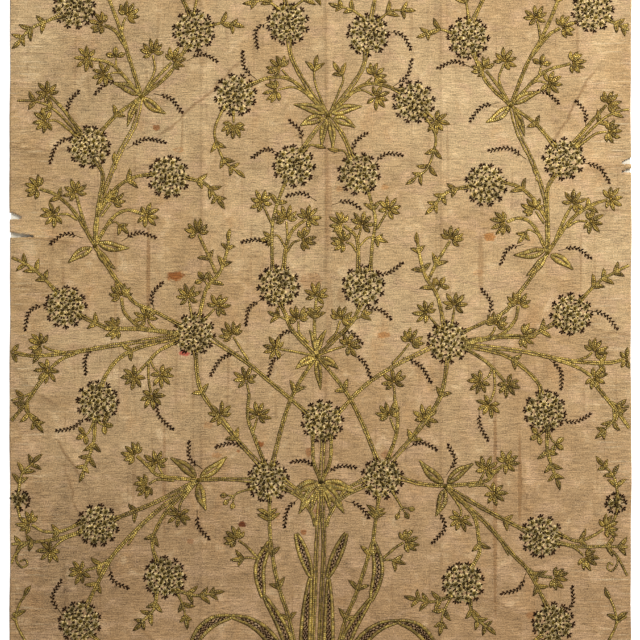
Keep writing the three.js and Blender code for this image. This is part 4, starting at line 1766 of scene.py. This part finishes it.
@dataclass
class FlowerHeads:
    """The round flower heads.

    Args:
        needle: What all the sewn work shares.
        floret_pitch: Spacing of the florets of a head.
        floret_reach: Distance of a floret's petals from its heart.
        rim_depth: Depth of a head's rim outside its florets.
        rim_inset: How far inside a head's radius the tridents stand.
        rim_pitch: Spacing of the tridents round a head.
        floret_clear: How far a floret's heart keeps off the cloth's margin.
        rim_clear: How far a trident's foot keeps off it.
    """

    needle: Needle
    floret_pitch: float = 8.6
    floret_reach: float = 4.1
    rim_depth: float = 7.4
    rim_inset: float = 4.0
    rim_pitch: float = 11.6
    floret_clear: float = 3.6
    rim_clear: float = 4.0

    def __post_init__(self) -> None:
        """Starts the piece."""
        self.heads = MeshBuffer()

    def floret(self, centre: np.ndarray) -> None:
        """Adds a floret of dark petals round an olive heart with a gilt ring.

        Args:
            centre: Its middle.
        """
        turn = self.needle.rng.uniform(0, 2 * math.pi)
        size = self.needle.rng.uniform(0.92, 1.08)
        self.heads.dome(centre, turn, FLORET_GROUND, size)
        self.heads.ring(centre, FLORET_RING, size)
        self.heads.dome(centre, turn, FLORET_HEART, size)
        petals = self.needle.rng.choice((4, 5, 5))
        for k in range(petals):
            angle = turn + k * 2 * math.pi / petals + self.needle.stray(0.2)
            petal = BROWN_PETAL if self.needle.rng.random() < 0.6 else DARK_PETAL
            self.heads.dome(centre + way_of(angle) * self.floret_reach * size, angle, petal)

    def trident(self, foot: np.ndarray, heading: float) -> None:
        """Adds a rim floret of three dark petals.

        Args:
            foot: Where its petals meet.
            heading: The way it points, in radians.
        """
        for degrees in (-52, 0, 52):
            angle = heading + math.radians(degrees + self.needle.stray(6))
            self.heads.dome(foot + way_of(angle) * 2.4, angle, RIM_PETAL)
        self.heads.dome(foot - way_of(heading) * 1.2, heading, RIM_STALK)

    def head(self, head: Head, side: int) -> None:
        """Adds a flower head: rings of florets inside a rim of tridents.

        Args:
            head: The flower head.
            side: -1 for the left half, 1 for the right, 0 for the middle.
        """
        centre = self.needle.drawing.place(side, (head.out, head.up))
        inner = head.radius - self.rim_depth
        rings = max(1, round(inner / self.floret_pitch))
        for ring in range(rings + 1):
            radius = inner * ring / rings
            count = max(1, round(2 * math.pi * radius / self.floret_pitch))
            turn = self.needle.rng.uniform(0, math.pi)
            for k in range(count):
                spot = centre + radius * way_of(turn + 2 * math.pi * k / count)
                spot += np.array([self.needle.stray(0.9), self.needle.stray(0.9)])
                if self.needle.inside(spot, self.needle.margin + self.floret_clear):
                    self.floret(spot)
        rim = max(8, round(2 * math.pi * head.radius / self.rim_pitch))
        turn = self.needle.rng.uniform(0, math.pi)
        for k in range(rim):
            angle = turn + 2 * math.pi * (k + self.needle.stray(0.16)) / rim
            foot = centre + (head.radius - self.rim_inset) * way_of(angle)
            if self.needle.inside(foot, self.needle.margin + self.rim_clear):
                self.trident(foot, angle + self.needle.stray(0.3))


@dataclass
class Stems:
    """The couched stems, with the leaves, buds and blossoms that they carry.

    Args:
        needle: What all the sewn work shares.
        centres: The middle and radius of each flower head.
        hearts: The middle of each crown.
        split_half: Half width from which a stem is two strands.
        strand_half: Half width of a strand.
        stem_end: Width of a stem at its tip, as a share of that at its foot.
        single: Width of a stem of one strand, as a share of its table width.
        inner_edge: Width of the dark edges between the two strands of a stem.
        flare: How much wider a stem grows where it runs into a head.
        flare_run: How far along the stem that reaches.
        head_pull: How near a head's rim an end is drawn into the head.
        head_sink: How far inside the rim it then ends.
        crown_pull: How near a crown an end is drawn into the crown.
        lobe_length: Length of a blossom's lobe.
        lobe_half: Half width of a blossom's lobe.
        leaf_length: Length of a twig's leaf.
        leaf_half: Half width of a twig's leaf.
        stalk: Length of a bud's stalk.
        bud_length: Length of a bud.
        bud_half: Half width of a bud.
        trefoil_length: Length of a leaf of a trefoil.
        trefoil_half: Half width of a leaf of a trefoil.
        heart_reach: How far past its stem's end a blossom has its heart.
    """

    needle: Needle
    centres: list[tuple[np.ndarray, float]]
    hearts: list[np.ndarray]
    split_half: float = 1.55
    strand_half: float = 0.8
    stem_end: float = 0.8
    single: float = 0.82
    inner_edge: float = 0.2
    flare: float = 0.9
    flare_run: float = 5.0
    head_pull: float = 9.0
    head_sink: float = 6.5
    crown_pull: float = 15.0
    lobe_length: float = 13.0
    lobe_half: float = 2.0
    leaf_length: float = 13.6
    leaf_half: float = 2.05
    stalk: float = 6.5
    bud_length: float = 7.5
    bud_half: float = 2.4
    trefoil_length: float = 10.5
    trefoil_half: float = 2.5
    heart_reach: float = 3.0

    def __post_init__(self) -> None:
        """Starts the pieces, with the thick stems of each half in one of their own."""
        self.cords = {-1: MeshBuffer(), 1: MeshBuffer()}
        self.twigs = MeshBuffer()
        self.blossoms = MeshBuffer()
        self.leaves = MeshBuffer()

    def stem(self, points: list[np.ndarray], half: float, side: int, flare: Pair) -> Points:
        """Adds a stem, as two strands with the silk between them or as a single one.

        Args:
            points: Its guide points.
            half: Half of its width at the foot.
            side: -1 for the left half's piece, 0 or 1 for the right half's.
            flare: How much wider it grows at its foot and at its tip.

        Returns:
            The points of its line that are on the silk.
        """
        line = smooth_line(points, self.needle.stitch / 2)
        line = np.array([p for p in line if self.needle.inside(p, self.needle.margin)])
        if len(line) < LEAST_STATIONS:
            return line
        share = np.linspace(0, 1, len(line))
        along = share * len(line) * self.needle.stitch / 2
        halves = half * (1 + (self.stem_end - 1) * share)
        halves *= 0.93 + 0.07 * np.sin(along * 0.4 + self.needle.rng.uniform(0, 6))
        halves += flare[0] * np.exp(-along / self.flare_run)
        halves += flare[1] * np.exp((along - along[-1]) / self.flare_run)
        edge = self.needle.edge
        if half < self.split_half:
            self.needle.strand(self.twigs, line, halves * self.single, edge, edge)
            return line
        left = left_of(line)
        for way in (-1, 1):
            off = way * (halves - self.strand_half)
            dark = (edge, self.inner_edge)[::way]
            wide = np.full(len(line), self.strand_half)
            self.needle.strand(self.cords[side or 1], line + left * off[:, None], wide, *dark)
        return line

    def blossom(self, centre: np.ndarray, heading: float) -> None:
        """Adds a blossom of pointed lobes, seen from its side or from above.

        Args:
            centre: Its heart.
            heading: The way it grows, in radians.
        """
        cupped = self.needle.rng.random() < 0.5
        spread = CUPPED_SPREAD if cupped else OPEN_SPREAD
        turn = self.needle.stray(12)
        for degrees, share in zip(spread, LOBE_SHARES):
            angle = heading + math.radians(degrees + turn + self.needle.stray(6))
            size = self.lobe_length * share * self.needle.rng.uniform(0.88, 1.08)
            bend = math.copysign(1.2 if cupped else 0.5, degrees) if degrees else 0.0
            half = self.lobe_half * self.needle.rng.uniform(0.88, 1.08)
            foot = centre + 0.5 * way_of(angle)
            self.needle.petal(self.blossoms, foot, angle, size, half, bend, 0.15, 1.12)
        self.blossoms.dome(centre, heading, BLOSSOM_HEART)

    def leaf_pair(self, line: Points, share: float, scale: float = 1.0) -> None:
        """Adds two leaves that spring from a stem.

        Args:
            line: The stem's points.
            share: How far along the stem they spring.
            scale: Their size, as a share of the usual one.
        """
        at = min(len(line) - 2, max(1, int(share * (len(line) - 1))))
        heading = heading_of(line[at + 1] - line[at - 1])
        for side in (-1, 1):
            angle = heading + side * math.radians(self.needle.rng.uniform(38, 62))
            length = self.leaf_length * scale * self.needle.rng.uniform(0.8, 1.1)
            self.needle.petal(self.leaves, line[at], angle, length, self.leaf_half * scale, -side * 1.3)

    def buds(self, foot: np.ndarray, heading: float) -> None:
        """Adds three rounded buds on short stalks.

        Args:
            foot: Where the stalks meet.
            heading: The way they grow, in radians.
        """
        for degrees in (-48, 0, 48):
            way = heading + math.radians(degrees + self.needle.stray(6))
            top = foot + self.stalk * way_of(way)
            line = smooth_line([foot, top], self.needle.stitch / 2)
            self.needle.strand(self.twigs, line, np.full(len(line), 0.6), 0.45, 0.45, 0.05)
            self.needle.petal(self.leaves, top, way, self.bud_length, self.bud_half, 0.0, peak=1.0)

    def joined(self, points: list[np.ndarray], ends: tuple[int, ...]
               ) -> tuple[list[np.ndarray], Pair]:
        """Runs the ends of a stem into the heads and crowns that they are near.

        Args:
            points: The stem's guide points.
            ends: The index of each end that may be moved.

        Returns:
            The points, and how much the stem flares at its foot and at its tip.
        """
        flare = [0.0, 0.0]
        for which, end in enumerate(ends):
            for centre, radius in self.centres:
                off = points[end] - centre
                far = float(np.hypot(*off))
                if far < radius + self.head_pull:
                    points[end] = centre + off / max(far, 1e-6) * (radius - self.head_sink)
                    flare[which] = self.flare
            for centre in self.hearts:
                off = points[end] - centre
                if np.hypot(*off) < self.crown_pull:
                    points[end] = centre + off * 0.12
        return points, (flare[0], flare[1])

    def grown_stem(self, stem: Stem, side: int) -> None:
        """Adds a stem with its tip and its leaf pairs.

        Args:
            stem: The stem.
            side: -1 for the left half, 1 for the right, 0 for the middle.
        """
        wander = [np.array([self.needle.stray(0.8), self.needle.stray(0.8)]) for _ in stem.path]
        points = [self.needle.drawing.place(side, p) + w for p, w in zip(stem.path, wander)]
        points, flare = self.joined(points, (0, -1) if stem.tip is Tip.NONE else (0,))
        line = self.stem(points, stem.half, side, flare)
        if len(line) < LEAST_STATIONS:
            return
        for share in stem.pairs:
            self.leaf_pair(line, share)
        if np.hypot(*(line[-1] - points[-1])) < 3.0:
            self.tip(stem.tip, line)

    def tip(self, tip: Tip, line: Points) -> None:
        """Adds what a stem ends in.

        Args:
            tip: What it is.
            line: The stem's points.
        """
        run = line[-1] - line[-3]
        heading = heading_of(run)
        if tip is Tip.BLOSSOM:
            self.blossom(line[-1] + self.heart_reach * run / np.hypot(*run), heading)
        elif tip is Tip.BUD:
            self.buds(line[-1], heading)
        elif tip is Tip.TREFOIL:
            for degrees in (-72, 0, 72):
                angle = heading + math.radians(degrees)
                self.needle.petal(self.leaves, line[-1], angle, self.trefoil_length,
                                  self.trefoil_half, 0.0, peak=1.15)
        elif tip in (Tip.LEAF, Tip.POINT):
            self.needle.petal(self.leaves, line[-2], heading, self.leaf_length, self.leaf_half, 0.6)
            if tip is Tip.LEAF:
                self.leaf_pair(line, 0.9, 0.85)


@dataclass
class GiltLeaves:
    """The long leaves with gilt borders.

    Args:
        needle: What all the sewn work shares.
        knots: The piece of the single dark knots.
        border_half: Half width of the border of a filled leaf.
        filling_pitch: Spacing of the knots in a filled leaf.
        overrun: How far a crown's leaf runs on past its point, as a share of its length.
        bow: How far the middle of a crown's leaf stands off the straight line.
    """

    needle: Needle
    knots: MeshBuffer
    border_half: float = 1.6
    filling_pitch: float = 2.4
    overrun: float = 0.08
    bow: float = 1.6

    def __post_init__(self) -> None:
        """Starts the piece of the borders."""
        self.borders = MeshBuffer()

    def bordered(self, line: Points, swell: Points, wide: Points, lift: float,
                 inner: float) -> None:
        """Adds the two gilt borders of a leaf, with the silk between them.

        Args:
            line: The leaf's middle.
            swell: How far the borders stand off it.
            wide: Half of a border's width at each point.
            lift: How far it stands off the silk.
            inner: Width of the dark edges that face each other.
        """
        left = left_of(line)
        for side in (-1, 1):
            border = line + left * (side * swell)[:, None]
            dark = (self.needle.edge, inner)[::side]
            self.needle.strand(self.borders, border, wide, *dark, lift)

    def crown_leaf(self, leaf: Leaf, side: int) -> None:
        """Adds a long leaf of two gilt halves round a slot.

        Args:
            leaf: The leaf.
            side: -1 for the left half, 1 for the right.
        """
        foot = self.needle.drawing.place(side, leaf.foot)
        end = self.needle.drawing.place(side, leaf.end)
        end = end + self.overrun * (end - foot)
        line = smooth_line(bowed(foot, end, side * self.bow), self.needle.stitch / 2)
        share = np.linspace(0, 1, len(line))
        border = leaf.half * 0.5 - leaf.slot * 0.5
        full = np.maximum(np.sin(np.pi * share**0.72), 0.0)
        self.bordered(line, (leaf.half - border) * full**1.7 + 0.1,
                      border * (0.15 + 0.85 * full**0.7), 0.2, 0.12)

    def filled_leaf(self, points: list[np.ndarray], half: float) -> None:
        """Adds a leaf with a gilt border round dark knots.

        Args:
            points: Its guide points.
            half: Greatest distance of its border from its middle.
        """
        line = smooth_line(points, self.needle.stitch / 2)
        share = np.linspace(0, 1, len(line))
        swell = half * (0.16 + 0.84 * np.sin(np.pi * share) ** 0.7)
        wide = self.border_half * (0.6 + 0.4 * np.sin(np.pi * share) ** 0.5)
        self.bordered(line, swell, wide, 0.1, self.needle.edge)
        left = left_of(line)
        hollow = swell - self.border_half - self.needle.edge
        for k in range(1, len(line) - 1, 2):
            if hollow[k] < 0.2:
                continue
            rows = max(1, int(round(hollow[k] * 2 / self.filling_pitch)))
            for row in range(rows):
                off = (row - (rows - 1) / 2 + 0.25 * (-1) ** (k // 2)) * self.filling_pitch
                angle = heading_of(left[k]) + self.needle.rng.uniform(0.5, 2.6)
                self.knots.dome(line[k] + left[k] * off, angle, FILLING_KNOT)


@dataclass
class Sprigs:
    """The sprays of single dark knots.

    Args:
        needle: What all the sewn work shares.
        knots: The piece of the single dark knots.
        knot_pitch: Spacing of the knots of a sprig.
        sprig_half: Half width of a sprig's thread.
        sprig_bow: How much more a sprig bows than its table bow.
        bare_knots: How many knots' steps of a sprig's thread are bare at its foot.
    """

    needle: Needle
    knots: MeshBuffer
    knot_pitch: float = 3.8
    sprig_half: float = 0.42
    sprig_bow: float = 1.35
    bare_knots: int = 3

    def sprig(self, sprig: Sprig, side: int) -> None:
        """Adds a spray of knots in pairs along a fine thread.

        Args:
            sprig: The spray.
            side: -1 for the left half, 1 for the right.
        """
        foot = self.needle.drawing.place(side, sprig.foot)
        end = self.needle.drawing.place(side, sprig.end)
        bare = self.bare_knots * self.knot_pitch / 2
        foot = foot + bare * (foot - end) / np.hypot(*(foot - end))
        line = smooth_line(bowed(foot, end, side * sprig.bow * self.sprig_bow), self.knot_pitch / 2)
        if not all(self.needle.inside(p, self.needle.margin + 2) for p in line):
            return
        profile = [(1, 0.06, -0.2), (0, 0.0, 0.8), (-1, -0.06, -0.2)]
        halves = np.full(len(line), self.sprig_half)
        self.needle.swept(self.knots, line, halves, profile, [Thread.OUTLINE] * 2)
        run = np.gradient(line, axis=0)
        for k in range(1 + self.bare_knots, len(line) - 1):
            angle = heading_of(run[k]) + (-1) ** k * (0.7 + self.needle.stray(0.15))
            reach = 1.9 * (1 - 0.2 * k / len(line)) + self.needle.stray(0.2)
            self.knots.dome(line[k] + reach * way_of(angle), angle, SPRIG_KNOT)
        self.knots.dome(line[-1], heading_of(run[-1]), SPRIG_TIP)


@dataclass
class Embroidery:
    """All of the sewn work on the silk.

    Args:
        surface: The silk's face.
        drawing: Where the pattern lies.
    """

    surface: SilkSurface
    drawing: Drawing

    def __post_init__(self) -> None:
        """Threads the needle and sets out each kind of work."""
        self.all_heads = [(side, head) for side in (-1, 1) for head in HEADS]
        self.all_heads += [(0, head) for head in MIDDLE_HEADS]
        crowns = [(side, crown) for side in (-1, 1) for crown in CROWNS if crown.out or side > 0]
        place = self.drawing.place
        centres = [(place(side, (h.out, h.up)), h.radius) for side, h in self.all_heads]
        hearts = [place(side, (c.out, c.up)) for side, c in crowns]
        needle = Needle(self.surface, self.drawing)
        self.knots = MeshBuffer()
        self.heads = FlowerHeads(needle)
        self.stems = Stems(needle, centres, hearts)
        self.gilt = GiltLeaves(needle, self.knots)
        self.sprigs = Sprigs(needle, self.knots)

    def build(self) -> list[Piece]:
        """Makes the embroidery's pieces.

        Returns:
            The pieces, all on the silk.
        """
        for side, head in self.all_heads:
            self.heads.head(head, side)
        for side in (-1, 1):
            self.half(side)
        for stem in MIDDLE_STEMS:
            self.stems.grown_stem(stem, 0)
        for leaf in MIDDLE_LEAVES:
            self.gilt.crown_leaf(leaf, 0)
        for heart in self.stems.hearts:
            self.stems.leaves.dome(heart, 0.3, CROWN_HEART)
        return self.pieces()

    def half(self, side: int) -> None:
        """Adds one half of the pattern, apart from its heads.

        Args:
            side: -1 for the left half, 1 for the right.
        """
        for stem in STEMS:
            if stem.side in (0, side):
                self.stems.grown_stem(stem, side)
        for leaf in LEAVES:
            self.gilt.crown_leaf(leaf, side)
        for sprig in SPRIGS:
            if sprig.side in (0, side):
                self.sprigs.sprig(sprig, side)
        for blade in BLADES:
            points = [self.drawing.place(side, p) for p in blade.path]
            self.gilt.filled_leaf(points, blade.half)

    def pieces(self) -> list[Piece]:
        """Turns the buffers into pieces on the silk."""
        materials = [finish.build() for finish in THREADS]
        named = {
            "couched_stems_left": self.stems.cords[-1],
            "couched_stems_right": self.stems.cords[1],
            "leaf_borders": self.gilt.borders,
            "couched_twigs": self.stems.twigs,
            "satin_blossoms": self.stems.blossoms,
            "satin_leaves": self.stems.leaves,
            "flower_heads": self.heads.heads,
            "knotted_sprigs": self.knots,
        }
        pieces = []
        for name, buffer in named.items():
            piece = buffer.build(name, self.surface, materials)
            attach(piece, Body.ROOT.value)
            pieces.append(piece)
        return pieces


# The studio


@dataclass
class Studio:
    """The floor, the lights and the camera.

    Args:
        height: Height of the camera over the floor, in metres.
        shown: Width of what it shows, in metres.
        aim: The point that it looks straight down at, in metres.
        daylight: Strength of the light from all round.
        floor_half: Half of the floor's side.
        floor_drop: How far the floor lies under the panel.
    """

    height: float = 3.0
    shown: float = 0.640
    aim: Pair = (-0.0005, 0.010)
    daylight: float = 0.34
    floor_half: float = 9000.0
    floor_drop: float = 0.2

    def build(self) -> None:
        """Makes the floor, the lights and the camera."""
        self.floor()
        self.light("key", (1.55, 1.55, 1.75), 1.0, 84.0)
        self.light("fill", (-1.9, -0.9, 2.4), 2.2, 12.0)
        world = bpy.data.worlds.new("studio")
        world.use_nodes = True
        sky = world.node_tree.nodes["Background"]
        sky.inputs["Color"].default_value = (1.0, 0.985, 0.96, 1.0)
        sky.inputs["Strength"].default_value = self.daylight
        bpy.context.scene.world = world
        camera = bpy.data.cameras.new("camera")
        camera.sensor_width = 36.0
        camera.lens = camera.sensor_width * self.height / self.shown
        camera.clip_end = 50.0
        eye = bpy.data.objects.new("camera", camera)
        eye.location = (*self.aim, self.height)
        bpy.context.scene.collection.objects.link(eye)
        bpy.context.scene.camera = eye
        bpy.context.scene.view_settings.view_transform = "Standard"

    def floor(self) -> None:
        """Makes the pale floor."""
        g = Graph("studio_floor")
        cloudy = g.noise(g.place(), 3.0, 3)
        tone = g.mix(cloudy, (0.86, 0.855, 0.85), (0.90, 0.895, 0.89))
        material = g.surface(Base_Color=tone, Roughness=0.85, Emission_Color=(1.0, 1.0, 1.0),
                             Emission_Strength=0.7)
        signs = ((-1, -1), (1, -1), (1, 1), (-1, 1))
        corners = np.array([(x * self.floor_half, y * self.floor_half, -self.floor_drop)
                            for x, y in signs])
        mesh_piece("floor", corners, [(0, 1, 2, 3)], [material])

    def light(self, name: str, place: tuple[float, float, float], size: float, power: float
              ) -> None:
        """Makes a soft square light that faces the panel.

        Args:
            name: Its name.
            place: Where it is, in metres.
            size: Its side, in metres.
            power: Its power, in watts.
        """
        data = bpy.data.lights.new(name, "AREA")
        data.shape = "SQUARE"
        data.size = size
        data.energy = power
        lamp = bpy.data.objects.new(name, data)
        lamp.location = place
        tilt = math.atan2(math.hypot(place[0], place[1]), place[2])
        lamp.rotation_euler = (tilt, 0.0, math.atan2(place[0], -place[1]))
        bpy.context.scene.collection.objects.link(lamp)


def main() -> None:
    """Builds the floor, the cloths and the embroidery, and reports each piece."""
    logging.basicConfig(level=logging.INFO, format="%(message)s")
    surface = SilkSurface()
    Studio().build()
    lining = LiningCloth().build(LiningFinish().build())
    silk = SilkGround(surface).build(SilkFinish().build())
    work = Embroidery(surface, Drawing()).build()
    for piece in [lining, silk, *work]:
        triangles = sum(len(p.vertices) - 2 for p in piece.data.polygons)
        LOG.info("%s: %d triangles", piece.name, triangles)


if __name__ == "__main__":
    main()
